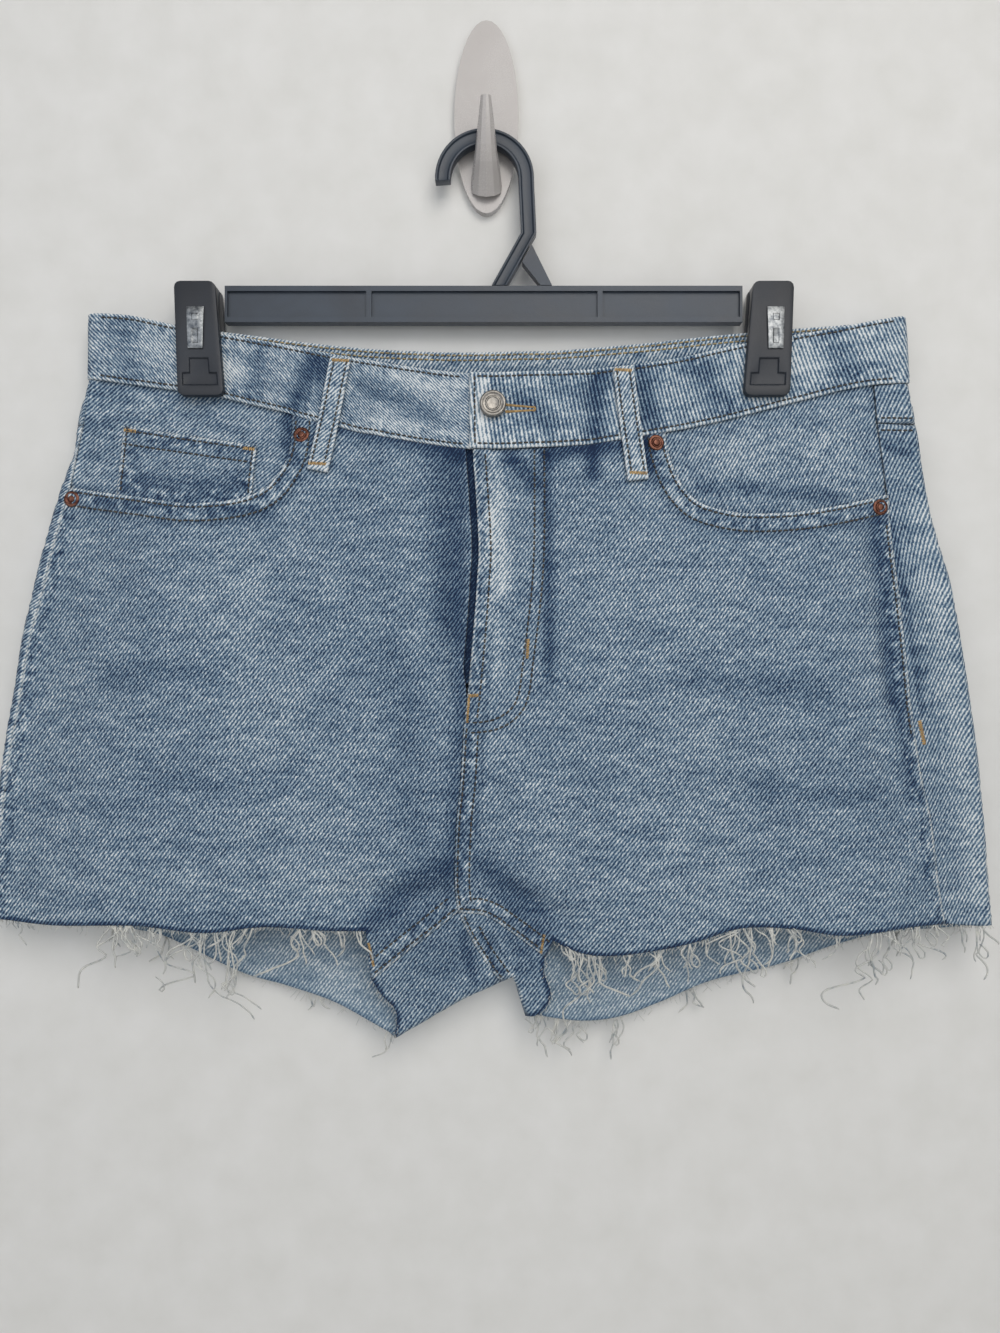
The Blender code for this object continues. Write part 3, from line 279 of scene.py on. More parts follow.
def depthAt(points, layer, out=0.0):
    points = np.asarray(points, float)
    x, z = points[:, 0], points[:, 1]
    edge = nearestOf(points, foldLines)[0]
    edge[edge < 0.03] = 0.0
    centre = 0.5 * (1.0 + np.cos(np.pi * np.clip(np.abs(x - cloth["centreX"]) / cloth["centreReach"], 0, 1)))
    middle = centre * levelAt(2, z) + (1.0 - centre) * levelAt(4, z)
    half = centre * levelAt(3, z) + (1.0 - centre) * levelAt(5, z)
    ease = smooth(edge / cloth["foldEase"])
    middle = levelAt(1, z) + (middle - levelAt(1, z)) * ease
    radius = cloth["foldRadius"]
    half = radius * np.sqrt(1.0 - (1.0 - np.clip(edge / radius, 0, 1)) ** 2) + (half - radius) * ease
    for side in ("right", "left"):
        across = np.maximum(np.abs(x - clips[side]) - clips["half"], 0) / clips["ease"]
        below = np.maximum(clips["foot"] - z, 0) / clips["ease"]
        held = (1.0 - smooth(np.hypot(across, below))) * smooth(edge / 20.0)
        half = half + (clips["pinch"] - half) * held
        middle = middle + (clips["y"] - middle) * held
    out = out * smooth(edge / 8.0)
    free = smooth(edge / 20.0)
    if layer == "front":
        lift = (foldHeights(points, frontFolds) * cloth["foldDepth"] + ripple(points, 0.3)) * free
        lift = lift + foldHeights(points, crotchFolds) * smooth(edge / 5.0) * (z < -464)
        return middle - half - out - lift
    lift = (foldHeights(points, backFolds) * cloth["foldDepth"] + ripple(points, 4.1)) * free
    return middle + half + out + lift


# ---- materials
def colour(value):  # an sRGB hex value as linear light
    channels = [int(value[i:i + 2], 16) / 255 for i in (1, 3, 5)]
    return tuple(c / 12.92 if c < 0.04045 else ((c + 0.055) / 1.055) ** 2.4 for c in channels) + (1.0,)


def node(tree, kind, feeds=None, give=0, stops=(), **settings):  # one node, its settings and what feeds it
    made = tree.nodes.new("ShaderNode" + kind)
    for key, value in settings.items():
        setattr(made, key, value)
    for key, source in (feeds or {}).items():
        if isinstance(source, bpy.types.NodeSocket):
            tree.links.new(source, made.inputs[key])
        else:
            made.inputs[key].default_value = source
    if stops:
        elements = made.color_ramp.elements
        for extra in stops[2:]:
            elements.new(0.5)
        for element, (position, value) in zip(elements, stops):
            element.position = position
            element.color = colour(value)
    return made.outputs[give]


def newMaterial(name):
    material = bpy.data.materials.new(name)
    material.use_nodes = True
    tree = material.node_tree
    tree.nodes.clear()
    shader = tree.nodes.new("ShaderNodeBsdfPrincipled")
    output = tree.nodes.new("ShaderNodeOutputMaterial")
    tree.links.new(shader.outputs["BSDF"], output.inputs["Surface"])
    return material, tree, shader


denimLooks = {
    "twillPitch": 1.75,   # mm between the diagonal ribs, a little coarser than real so that they show
    "twillAngle": 52.0,   # degrees from level, leaning to the right as it rises
    "ribs": 0.66,         # how much the ribs and grooves differ
    "wander": 0.0009,     # m that the yarns stray, which breaks the ribs
    "tone": 0.47,
    "dark": "#122440",    # indigo where nothing rubbed it
    "deep": "#38526D",
    "mid": "#677C8E",
    "light": "#98A8B3",
    "white": "#D3D7D8",
    "roughness": 0.92,
    "layers": {
        # unevenness of the cloth: scale on three axes, detail, roughness, distortion, amount
        "grain": ((806.45, 260.0, 1.0), 2.0, 0.65, 0.0, 0.95),  # warp yarns, drawn a little coarse
        "speckle": ((760.0, 760.0, 760.0), 2.0, 0.7, 0.0, 0.80),
        "slub": ((62.0, 330.0, 1.0), 3.0, 0.6, 0.0, 0.42),
        "cloud": ((40.0, 115.0, 1.0), 4.0, 0.62, 0.6, 0.50),
        "patch": ((9.0, 9.0, 9.0), 2.0, 0.5, 0.0, 0.08),
    },
    "stops": {
        "outside": ((0.0, "dark"), (0.26, "deep"), (0.52, "mid"), (0.78, "light"), (1.0, "white")),
        "inside": ((0.0, "deep"), (0.42, "mid"), (0.85, "light"), (1.0, "white")),
    },
    "masks": {
        # what is measured, from and to in metres, value before and after
        "allowance": ("away", 0.0075, 0.0105, 1.0, 0.0),
        "haloStart": ("away", 0.0085, 0.0105, 0.0, 1.0),
        "haloEnd": ("away", 0.0110, 0.0190, 1.0, 0.0),
        "seamEdge": ("away", 0.0007, 0.0019, 1.0, 0.0),
        "rawEdge": ("hem", 0.0012, 0.0030, 1.0, 0.0),
    },
}


# Denim: cotton warp dyed with indigo over a white weft in a 3/1 twill, then acid washed. The ribs are rubbed
# pale, the grooves between them stay blue, and the roped seams alternate pale ridges with navy hollows.
def makeDenim(name, outside=True, bias=0.0):
    material, tree, shader = newMaterial(name)
    weave = node(tree, "Attribute", give="Vector", attribute_name="weave")
    tone = node(tree, "Attribute", give="Fac", attribute_name="tone")
    hem = node(tree, "Attribute", give="Fac", attribute_name="hem")
    seam = node(tree, "Attribute", give="Vector", attribute_name="seam")
    away, along, roped = node(tree, "SeparateXYZ", {"Vector": seam}).node.outputs

    # twill ribs, broken by yarns that wander a little
    stray = node(tree, "TexNoise", {"Vector": weave, "Scale": 620.0, "Detail": 1.0}, give="Color")
    reach = (denimLooks["wander"], denimLooks["wander"], 0.0)
    strayed = node(tree, "VectorMath", {0: stray, 1: reach, 2: weave}, operation="MULTIPLY_ADD")
    lean = math.radians(denimLooks["twillAngle"] - 90.0 if outside else 90.0 - denimLooks["twillAngle"])
    turned = node(tree, "Mapping", {"Vector": strayed, "Rotation": (0.0, 0.0, -lean)})
    waveScale = math.pi / 10 / (denimLooks["twillPitch"] * mm)
    twill = node(tree, "TexWave", {"Vector": turned, "Scale": waveScale, "Distortion": 0.0}, give="Fac",
                 wave_type="BANDS", bands_direction="X", wave_profile="SIN")
    centred = node(tree, "Math", {0: twill, 1: 0.5}, operation="SUBTRACT")
    total = node(tree, "Math", {0: centred, 1: denimLooks["ribs"], 2: denimLooks["tone"] + bias},
                 operation="MULTIPLY_ADD")
    layers = {}
    for key, (scale, detail, rough, distortion, amount) in denimLooks["layers"].items():
        space = node(tree, "Mapping", {"Vector": weave, "Scale": scale})
        layers[key] = node(tree, "TexNoise", {"Vector": space, "Scale": 1.0, "Detail": detail,
                                              "Roughness": rough, "Distortion": distortion})
        centred = node(tree, "Math", {0: layers[key], 1: 0.5}, operation="SUBTRACT")
        total = node(tree, "Math", {0: centred, 1: amount, 2: total}, operation="MULTIPLY_ADD")

    # roping: ridges across the double stitching, 3 to 6 mm apart
    masks = {}
    for key, (measured, low, high, before, after) in denimLooks["masks"].items():
        masks[key] = node(tree, "MapRange", {"Value": away if measured == "away" else hem, "From Min": low,
                                             "From Max": high, "To Min": before, "To Max": after},
                          interpolation_type="SMOOTHSTEP")
    across = node(tree, "Math", {0: away, 1: 0.75}, operation="MULTIPLY")
    ropeSpace = node(tree, "CombineXYZ", {"X": along, "Y": across})
    rope = node(tree, "TexNoise", {"Vector": ropeSpace, "Scale": 270.0, "Detail": 2.0, "Roughness": 0.6,
                                   "Distortion": 0.3})
    ropePart = node(tree, "Math", {0: masks["allowance"], 1: roped}, operation="MULTIPLY")
    ropeTone = node(tree, "Math", {0: rope, 1: 0.53}, operation="SUBTRACT")
    ropeTone = node(tree, "Math", {0: ropeTone, 1: ropePart}, operation="MULTIPLY")
    halo = node(tree, "Math", {0: masks["haloStart"], 1: masks["haloEnd"]}, operation="MULTIPLY")
    halo = node(tree, "Math", {0: halo, 1: roped}, operation="MULTIPLY")
    rubbed = node(tree, "Math", {0: masks["seamEdge"], 1: roped}, operation="MULTIPLY")
    # the tone attribute brings in the wash marks together with painted shade and painted light from the tone
    # strokes
    washAndShade = ((tone, 1.05), (ropeTone, 1.5), (halo, -0.12), (rubbed, 0.34), (masks["rawEdge"], -0.42))
    if not outside:
        washAndShade = ((tone, 0.18), (masks["rawEdge"], -0.2))
    for source, amount in washAndShade:
        total = node(tree, "Math", {0: source, 1: amount, 2: total}, operation="MULTIPLY_ADD")
    stops = [(at, denimLooks[key]) for at, key in denimLooks["stops"]["outside" if outside else "inside"]]
    shade = node(tree, "ValToRGB", {"Fac": total}, stops=stops)

    height = node(tree, "Math", {0: layers["grain"], 1: 0.5}, operation="MULTIPLY")
    height = node(tree, "Math", {0: twill, 1: 0.55, 2: height}, operation="MULTIPLY_ADD")
    bump = node(tree, "Bump", {"Height": height, "Strength": 0.55, "Distance": 0.00035})
    if outside:
        ridges = node(tree, "Math", {0: rope, 1: ropePart}, operation="MULTIPLY")
        ridges = node(tree, "Math", {0: layers["cloud"], 1: 0.25, 2: ridges}, operation="MULTIPLY_ADD")
        bump = node(tree, "Bump", {"Height": ridges, "Strength": 0.5, "Distance": 0.0012, "Normal": bump})
    rough = node(tree, "Math", {0: layers["speckle"], 1: 0.12, 2: denimLooks["roughness"] - 0.06},
                 operation="MULTIPLY_ADD")
    tree.links.new(shade, shader.inputs["Base Color"])
    tree.links.new(bump, shader.inputs["Normal"])
    tree.links.new(rough, shader.inputs["Roughness"])
    shader.inputs["Sheen Weight"].default_value = 0.12
    shader.inputs["Sheen Roughness"].default_value = 0.5
    shader.inputs["Specular IOR Level"].default_value = 0.25
    return material


denim = makeDenim("acidWashedDenim")
denimInside = makeDenim("denimWrongSide", outside=False, bias=0.12)
print("stage: cloth materials made")


# ---- tone strokes: where the cloth is darker or paler, as soft strokes. Some are wash marks; many are painted shade in the valleys of the folds, under the waistband's foot and beside the belt loops, and painted light on the ridges of the folds
# layer, from x, from z, to x, to z, half width, change of tone
washAndShadeStrokes = {
    "front": (
        # painted shade in the valleys beside the fly and the inseams, and under the waistband's foot
        (-15, -206, -14, -340, 8, -0.22), (-26, -210, -22, -300, 12, -0.19),
        (-13, -345, -20, -452, 7, -0.22), (-28, -440, -64, -468, 14, -0.30),
        (0, -438, 30, -462, 10, -0.28), (-24, -486, 20, -484, 24, -0.14),
        (-90, -184, -14, -204, 7, -0.42), (36, -203, 92, -196, 8, -0.40), (34, -206, 36, -330, 5, -0.30),
        (-95, -192, -93, -207, 7, -0.42), (-113, -170, -111, -205, 7, -0.40),
        (-98, -166, -88, -186, 6, -0.30), (62, -160, 60, -215, 6, -0.40), (82, -165, 92, -212, 6, -0.40),
        (4, -208, 10, -280, 7, 0.30), (2, -240, 6, -330, 6, 0.20), (14, -205, 28, -222, 7, -0.30),
        (-2, -212, 16, -208, 4, -0.24), (223, -240, 229, -345, 7, -0.26),
        (232, -345, 240, -400, 6, -0.18), (-221, -230, -120, -238, 5, -0.16),
        # faint painted light on the broad ridges of the folds
        (-150, -270, -90, -440, 44, 0.04), (90, -270, 120, -440, 48, 0.03),
        (-240, -440, -60, -452, 20, 0.03), (60, -450, 220, -452, 18, 0.03),
        (-210, -330, -150, -326, 10, -0.12), (-190, -392, -110, -386, 9, -0.10),
        (-50, -320, -40, -420, 18, -0.10), (110, -330, 190, -338, 12, -0.10),
        (150, -392, 225, -398, 10, -0.10), (-240, -190, -236, -215, 6, 0.12),
        (-200, -205, -150, -210, 14, 0.03), (140, -200, 200, -195, 16, 0.04),
        (120, -222, 200, -228, 6, -0.16), (-196, -218, -140, -222, 5, -0.14),
        # painted light on the crotch ridges and painted shade in the valley between them
        (-9, -470, 2, -500, 2.4, 0.26), (-14, -476, -6, -504, 3, -0.22), (8, -480, 20, -512, 4, 0.16),
        (252, -235, 282, -455, 14, 0.14), (230, -199, 244, -202, 4, -0.30),
        (236, -273, 245, -270, 1.8, -0.35), (235, -280, 240, -284, 2.0, -0.35),
        (241, -316, 249, -315, 1.8, -0.32), (243, -328, 250, -328, 1.8, -0.32),
        (245, -349, 253, -348, 2.0, -0.34), (238, -245, 252, -247, 1.6, -0.20),
        (233, -245, 247, -350, 3.0, -0.20), (140, -205, 205, -200, 20, 0.06),
        (-200, -205, -150, -212, 18, 0.05),
    ),
    "back": (
        (-190, -196, -20, -214, 12, 0.10), (20, -214, 190, -196, 12, 0.10),
        (-128, -330, -128, -330, 60, 0.16), (134, -330, 134, -330, 60, 0.16),
        (-40, -250, -36, -440, 16, -0.10), (48, -250, 46, -440, 16, -0.10),
        (-200, -440, -70, -460, 26, 0.12), (60, -450, 200, -440, 26, 0.12),
    ),
    "band": (
        (-205, -140, -150, -150, 12, 0.10), (150, -145, 236, -140, 14, 0.10),
        # painted shade in the band's dents beside the belt loops
        (-100, -150, -112, -182, 9, -0.42), (-92, -152, -88, -178, 9, -0.35),
        (64, -158, 62, -194, 8, -0.42), (88, -152, 94, -186, 9, -0.38), (-70, -165, -30, -180, 7, -0.26),
        (-52, -160, -20, -170, 6, 0.22), (20, -176, 34, -184, 9, -0.30), (42, -165, 56, -170, 10, -0.16),
        (-130, -140, -136, -168, 9, -0.22), (-210, -130, -204, -158, 12, -0.20),
        (120, -150, 140, -176, 10, -0.24), (200, -134, 210, -158, 12, -0.22),
        (-60, -186, -40, -190, 6, 0.20), (-2, -165, -2, -198, 5, 0.34), (-160, -150, -140, -156, 8, 0.16),
        (176, -145, 190, -158, 9, 0.14),
    ),
}

# Roped seams: raised on one side where the allowance is folded under it. The first five lie on the front.
seamLines = {
    "fly": curveThrough(flyEdge),
    "scoopRight": curveThrough(rightScoop),
    "scoopLeft": curveThrough(leftScoop),
    "inseamRight": curveThrough(rightInseam),
    "inseamLeft": curveThrough(leftInseam),
    "sideRight": curveThrough(rightSideTop) + curveThrough(rightSideSeam)[1:],
    "sideLeft": curveThrough(leftSideTop) + curveThrough(leftSideSeam)[1:],
    "seatFront": curveThrough(seatSeamFront),
    "bandFoot": curveThrough(bandFoot),
    "yoke": curveThrough(yokeSeam),
    "seatBack": curveThrough(seatSeamBack) + curveThrough(yokeMiddle)[1:],
    "backBandFoot": curveThrough(backBandFoot),
}
hemLines = {
    "front": [curveThrough(rightFrontHem), curveThrough(leftFrontHem)],
    "back": [curveThrough(rightBackHem), curveThrough(leftBackHem)],
    "crotch": [curveThrough(rightRawEdge), curveThrough(leftRawEdge)],
}


def between(line, fromZ, toZ):
    points = sorted((tuple(point) for point in line), key=lambda point: -point[1])
    heights = np.array([point[1] for point in points])
    acrosses = np.array([point[0] for point in points])
    inner = [np.array(point) for point in points if toZ + 1.5 < point[1] < fromZ - 1.5]
    ends = [np.array((np.interp(-z, -heights, acrosses), z)) for z in (fromZ, toZ)]
    return [ends[0]] + inner + [ends[1]]


def shifted(line, across, up=0.0):
    return [np.array((point[0] + across, point[1] + up)) for point in line]


def heightOn(line, x):
    points = np.array(sorted(tuple(point) for point in line))
    return np.interp(x, points[:, 0], points[:, 1])


def insideOf(points, loop):  # even-odd test
    x, z = points[:, 0], points[:, 1]
    found = np.zeros(len(points), bool)
    for (ax, az), (bx, bz) in zip(loop, np.roll(loop, -1, axis=0)):
        if az != bz:
            crosses = (az > z) != (bz > z)
            found ^= crosses & (x < (bx - ax) * (z - az) / (bz - az) + ax)
    return found


def drawnIn(loop, onFold, gap):  # the loop, with its sewn edges drawn in by the gap
    before, after = np.roll(loop, 1, axis=0), np.roll(loop, -1, axis=0)
    away = after - before
    normal = np.stack((-away[:, 1], away[:, 0]), axis=1)
    normal /= np.maximum(np.linalg.norm(normal, axis=1), 1e-9)[:, None]
    area = 0.5 * np.sum(loop[:, 0] * after[:, 1] - after[:, 0] * loop[:, 1])
    normal *= 1.0 if area > 0 else -1.0
    return np.where(onFold[:, None], loop, loop + normal * gap)


def thinned(candidates, taken, space):  # those that keep their distance from what is taken and each other
    size = max(space, 0.2)
    grid = {}
    for x, z in taken:
        grid.setdefault((int(x // size), int(z // size)), []).append((x, z))
    kept = []
    for x, z in candidates:
        column, row = int(x // size), int(z // size)
        near = False
        for i in (column - 1, column, column + 1):
            for j in (row - 1, row, row + 1):
                for a, b in grid.get((i, j), ()):
                    if (a - x) ** 2 + (b - z) ** 2 < space * space:
                        near = True
        if not near:
            kept.append((x, z))
            grid.setdefault((column, row), []).append((x, z))
    return kept


chainRows = {
    "fold": (cloth["foldRows"], 0.25),
    "seam": ((0.7, 1.9, 3.4, 5.4, 7.6, 9.4, 11.0), 0.9),
    "edge": ((0.35, 0.9, 1.8, 3.4, 5.6, 8.0, 9.8, 11.4), 0.7),
    "hem": ((1.0, 2.6), 0.8),
}


def filledOutline(chains, step, gap):  # a flat mesh, with rows of points beside its folds and seams
    loop, kinds = [], []
    for kind, line in chains:
        for point in line:
            if not loop or np.hypot(*(point - loop[-1])) > 0.05:
                loop.append(np.array(point, float))
                kinds.append(kind)
    if np.hypot(*(loop[0] - loop[-1])) < 0.05:
        loop.pop()
        kinds.pop()
    loop = np.array(loop)
    ends = np.zeros(len(loop), bool)
    for line in foldLines:
        ends |= nearest(loop, line)[0] < 0.03
    loop = drawnIn(loop, ends, gap)
    rows = []
    for kind in ("fold", "edge", "seam", "hem"):
        offsets, space = chainRows[kind]
        for offset in offsets:
            moved = []
            for mine, start, end in zip(kinds, loop, np.roll(loop, -1, axis=0)):
                if mine == kind and np.hypot(*(end - start)) < 16:
                    away = (end - start) / max(np.hypot(*(end - start)), 1e-9)
                    normal = np.array((-away[1], away[0]))
                    moved += [start + normal * offset, start - normal * offset]
            if moved:
                moved = np.array(moved)
                moved = moved[insideOf(moved, loop)]
                moved = moved[nearest(moved, np.vstack((loop, loop[:1])))[0] > 0.93 * offset]
                taken = rows + [tuple(point) for point in loop]
                rows += thinned([tuple(point) for point in moved], taken, space)
    low, high = loop.min(axis=0), loop.max(axis=0)
    lattice = []
    for number, z in enumerate(np.arange(low[1] + 0.4 * step, high[1], step * 0.866)):
        lattice += [(x, z) for x in np.arange(low[0] + (number % 2) * step / 2, high[0], step)]
    lattice = np.array(lattice)
    lattice = lattice[insideOf(lattice, loop)]
    taken = rows + [tuple(point) for point in loop]
    lattice = np.array(thinned([tuple(point) for point in lattice], taken, 0.62 * step))
    points = np.vstack((loop, np.array(rows).reshape(-1, 2), lattice.reshape(-1, 2)))
    found = delaunay_2d_cdt([Vector(point) for point in points], [], [list(range(len(loop)))], 1, 1e-5)
    return np.array([tuple(vert) for vert in found[0]]), [tuple(face) for face in found[2]]


noEdge = 99.0  # mm, for a point with no seam or hem near it


def newObject(name, verts, faces, materials, smoothed=True):
    data = bpy.data.meshes.new(name)
    data.from_pydata([tuple(vert) for vert in verts], [], faces)
    obj = bpy.data.objects.new(name, data)
    bpy.context.scene.collection.objects.link(obj)
    for item in materials:
        data.materials.append(item)
    data.polygons.foreach_set("use_smooth", [smoothed] * len(data.polygons))
    data.update()
    return obj


def pieceFor(obj, slot, *cadNodes):  # its body, its slot, which is not used, and the CAD nodes that it stands for
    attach(obj, "root")
    if cadNodes:
        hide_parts(*cadNodes)


def setAttribute(obj, name, values):  # one value or one vector for each point
    values = np.asarray(values, float)
    kind, key = ("FLOAT", "value") if values.ndim == 1 else ("FLOAT_VECTOR", "vector")
    layer = obj.data.attributes.new(name, kind, "POINT")
    layer.data.foreach_set(key, values.ravel())


def alone(obj):  # a context in which the operators see this object only
    return bpy.context.temp_override(object=obj, active_object=obj, selected_objects=[obj],
                                     selected_editable_objects=[obj])


def applyModifiers(obj):
    for modifier in list(obj.modifiers):
        with alone(obj):
            bpy.ops.object.modifier_apply(modifier=modifier.name)


def bandLift(points, line, width, height, rope=0.3):  # the raised allowance beside a sewn edge
    away, along = nearest(points, line)
    raised = height * (1.0 - smooth((away - width) / 1.8))
    ridge = np.sin(2 * math.pi * (along + 0.7 * away) / 7.5 + 1.6 * np.sin(along / 11.0))
    window = smooth(away / 1.5) * (1.0 - smooth((away - width + 1.0) / 2.0))
    groove = np.exp(-((away - 1.9) / 0.7) ** 2) + np.exp(-((away - width + 1.2) / 0.7) ** 2)
    edge = np.clip(1.0 - away / 1.1, 0, 1) ** 2
    return raised + rope * ridge * window - 0.22 * groove - 0.3 * edge


def weaveOf(points, layer, depth, turn, wraps):  # cloth that goes round an outer fold is unrolled from it
    x, z = points[:, 0], points[:, 1]
    u = np.where(layer > 0.5, -x, x)
    if wraps:
        side = 1 if x.mean() > 0 else -1
        line = np.array(sorted((leftFold if side > 0 else rightFold), key=lambda point: point[1]))
        foldX = np.interp(z, line[:, 1], line[:, 0])
        run = np.hypot(x - foldX, depth - levelAt(1, z))
        onPanel = (layer > 0.5) | (x * side > 200)
        u = np.where(onPanel, np.where(layer > 0.5, side, -side) * run - foldX, u)
    angle = math.radians(turn)
    return np.stack((u * math.cos(angle) - z * math.sin(angle), u * math.sin(angle) + z * math.cos(angle),
                     np.full(len(x), 37.0 * turn)), axis=1) * mm


frontSeams = ("fly", "scoopRight", "scoopLeft", "inseamRight", "inseamLeft", "sideRight", "sideLeft",
              "bandFoot", "seatFront")
backSeams = ("yoke", "seatBack", "backBandFoot")


def seamOf(points, layer, names=None):
    away = np.full(len(points), noEdge)
    along = np.zeros(len(points))
    for side, group in ((0, frontSeams), (1, backSeams)):
        chosen = [seamLines[name] for name in (names or group) if name in group]
        mask = (layer > 0.5) == bool(side)
        if chosen and mask.any():
            away[mask], along[mask] = nearestOf(points[mask], chosen)
    return away, along


def hemOf(points, layer):
    away = np.full(len(points), noEdge)
    front = layer < 0.5
    if front.any():
        away[front] = nearestOf(points[front], hemLines["front"] + hemLines["crotch"])[0]
    if (~front).any():
        away[~front] = nearestOf(points[~front], hemLines["back"])[0]
    return away


# One sewn piece. Its parts are closed outlines on the front or the back layer, joined where they meet on a
# fold. Its lifts are the seams along which it stands up over its allowance.
# With worn it gets the tone strokes: wash marks, with painted shade in fold valleys and painted light on
# ridges.
def clothPiece(name, parts, lifts=(), seams=None, out=0.0, step=None, gap=cloth["seamGap"], turn=0.0,
               tone=0.0, worn=True, wraps=False):
    verts, faces, layers, flats = [], [], [], []
    for layer, chains in parts:
        size = step or (cloth["frontStep"] if layer == "front" else cloth["backStep"])
        flat, found = filledOutline(chains, size, gap)
        y = depthAt(flat, layer, out)
        sign = -1.0 if layer == "front" else 1.0
        free = smooth(nearestOf(flat, foldLines)[0] / 6.0)
        for seam, width, height in lifts:
            if (seam in frontSeams) == (layer == "front"):
                y = y + sign * free * bandLift(flat, seamLines[seam], width, height)
        base = sum(len(part) for part in flats)
        turnedFaces = found if layer == "front" else [face[::-1] for face in found]
        faces += [tuple(base + i for i in face) for face in turnedFaces]
        verts.append(np.stack((flat[:, 0], y, flat[:, 1]), axis=1) * mm)
        flats.append(flat)
        layers.append(np.full(len(flat), float(layer == "back")))
    verts, flat, layers = np.vstack(verts), np.vstack(flats), np.concatenate(layers)
    obj = newObject(name, verts, faces, [denim, denimInside])
    setAttribute(obj, "weave", weaveOf(flat, layers, verts[:, 1] / mm, turn, wraps))
    away, along = seamOf(flat, layers, seams)
    roped = np.zeros(len(flat))
    for seam, width, height in lifts:
        near = nearest(flat, seamLines[seam])[0]
        mine = (near <= away + 0.5) & (near < width + 4.0) & ((layers > 0.5) == (seam in backSeams))
        roped = np.maximum(roped, mine)
    setAttribute(obj, "seam", np.stack((away * mm, along * mm, roped), axis=1))
    # tone: wash marks together with painted shade and painted light
    washAndShade = np.zeros(len(flat)) + tone
    for side in ("front", "back") if worn else ():
        mask = (layers > 0.5) == (side == "back")
        washAndShade[mask] += foldHeights(flat[mask], washAndShadeStrokes[side])
    setAttribute(obj, "tone", washAndShade)
    setAttribute(obj, "hem", hemOf(flat, layers) * mm)
    mesh = bmesh.new()
    mesh.from_mesh(obj.data)
    bmesh.ops.remove_doubles(mesh, verts=mesh.verts, dist=0.00006)
    mesh.to_mesh(obj.data)
    mesh.free()
    wall = obj.modifiers.new("Wall", "SOLIDIFY")
    wall.thickness = cloth["thickness"] * mm
    wall.offset = 0.0
    wall.material_offset = 1
    applyModifiers(obj)
    obj.data.polygons.foreach_set("use_smooth", [True] * len(obj.data.polygons))
    return obj


def pillowStrip(name, grid, thickness, materials, profile):  # a doubled strip, rounded off at its edges
    grid = np.array(grid, float)
    count, rows = grid.shape[:2]
    along = np.gradient(grid, axis=0)
    across = np.gradient(grid, axis=1)
    normal = np.cross(along, across)
    normal /= np.maximum(np.linalg.norm(normal, axis=2), 1e-9)[:, :, None]
    width = np.cumsum(np.linalg.norm(np.diff(grid, axis=1), axis=2), axis=1)
    width = np.concatenate((np.zeros((count, 1)), width), 1)
    length = np.cumsum(np.linalg.norm(np.diff(grid[:, rows // 2], axis=0), axis=1))
    length = np.concatenate((np.zeros(1), length))
    toEdge = np.minimum(width, width[:, -1:] - width)
    toEdge = np.minimum(toEdge, np.minimum(length, length[-1] - length)[:, None])
    half = thickness / 2
    bulge = half * np.sqrt(1.0 - (1.0 - np.clip(toEdge / half, 0, 1)) ** 2)
    outer = grid + normal * bulge[:, :, None] + normal * (profile * (bulge / half))[:, :, None]
    inner = grid - normal * bulge[:, :, None]
    verts = np.vstack((outer.reshape(-1, 3), inner.reshape(-1, 3)))
    faces = []
    shift = count * rows
    for i in range(count - 1):
        for j in range(rows - 1):
            a, b, c, d = i * rows + j, i * rows + j + 1, (i + 1) * rows + j + 1, (i + 1) * rows + j
            faces.append((a, d, c, b))
            faces.append((shift + a, shift + b, shift + c, shift + d))
    obj = newObject(name, verts * mm, faces, materials)
    return obj, length


def doubled(values):  # what one face of a strip has, for both its faces
    return np.concatenate((values.reshape(-1), values.reshape(-1)))


def dressStrip(obj, u, v, part, away, along, roped, tone):  # where each point lies in the weave and the seams
    size = 2 * u.size
    weave = (doubled(u) * mm, doubled(v) * mm, np.full(size, part * mm))
    seam = (doubled(away) * mm, doubled(along) * mm, np.full(size, roped))
    setAttribute(obj, "weave", np.stack(weave, axis=1))
    setAttribute(obj, "seam", np.stack(seam, axis=1))
    setAttribute(obj, "tone", doubled(tone))
    setAttribute(obj, "hem", np.full(size, noEdge * mm))


def sealed(obj):  # doubles merged and faces turned outward
    mesh = bmesh.new()
    mesh.from_mesh(obj.data)
    bmesh.ops.remove_doubles(mesh, verts=mesh.verts, dist=0.00001)
    bmesh.ops.recalc_face_normals(mesh, faces=mesh.faces)
    mesh.to_mesh(obj.data)
    mesh.free()
    return obj


# ---- the sewn panels
flyTop = curveThrough(flyEdge)
underEdge = [np.array((x - 4.0 * (1.0 - float(smooth((-322.0 - z) / 24.0))), z)) for x, z in flyTop]
bandFootLine = curveThrough(bandFoot)


def bandEdge(fromX, toX):  # the waistband's foot between two places
    inner = [p for p in bandFootLine if min(fromX, toX) + 1.5 < p[0] < max(fromX, toX) - 1.5]
    ends = [np.array((x, heightOn(bandFootLine, x))) for x in (fromX, toX)]
    return [ends[0]] + (inner if fromX < toX else inner[::-1]) + [ends[1]]


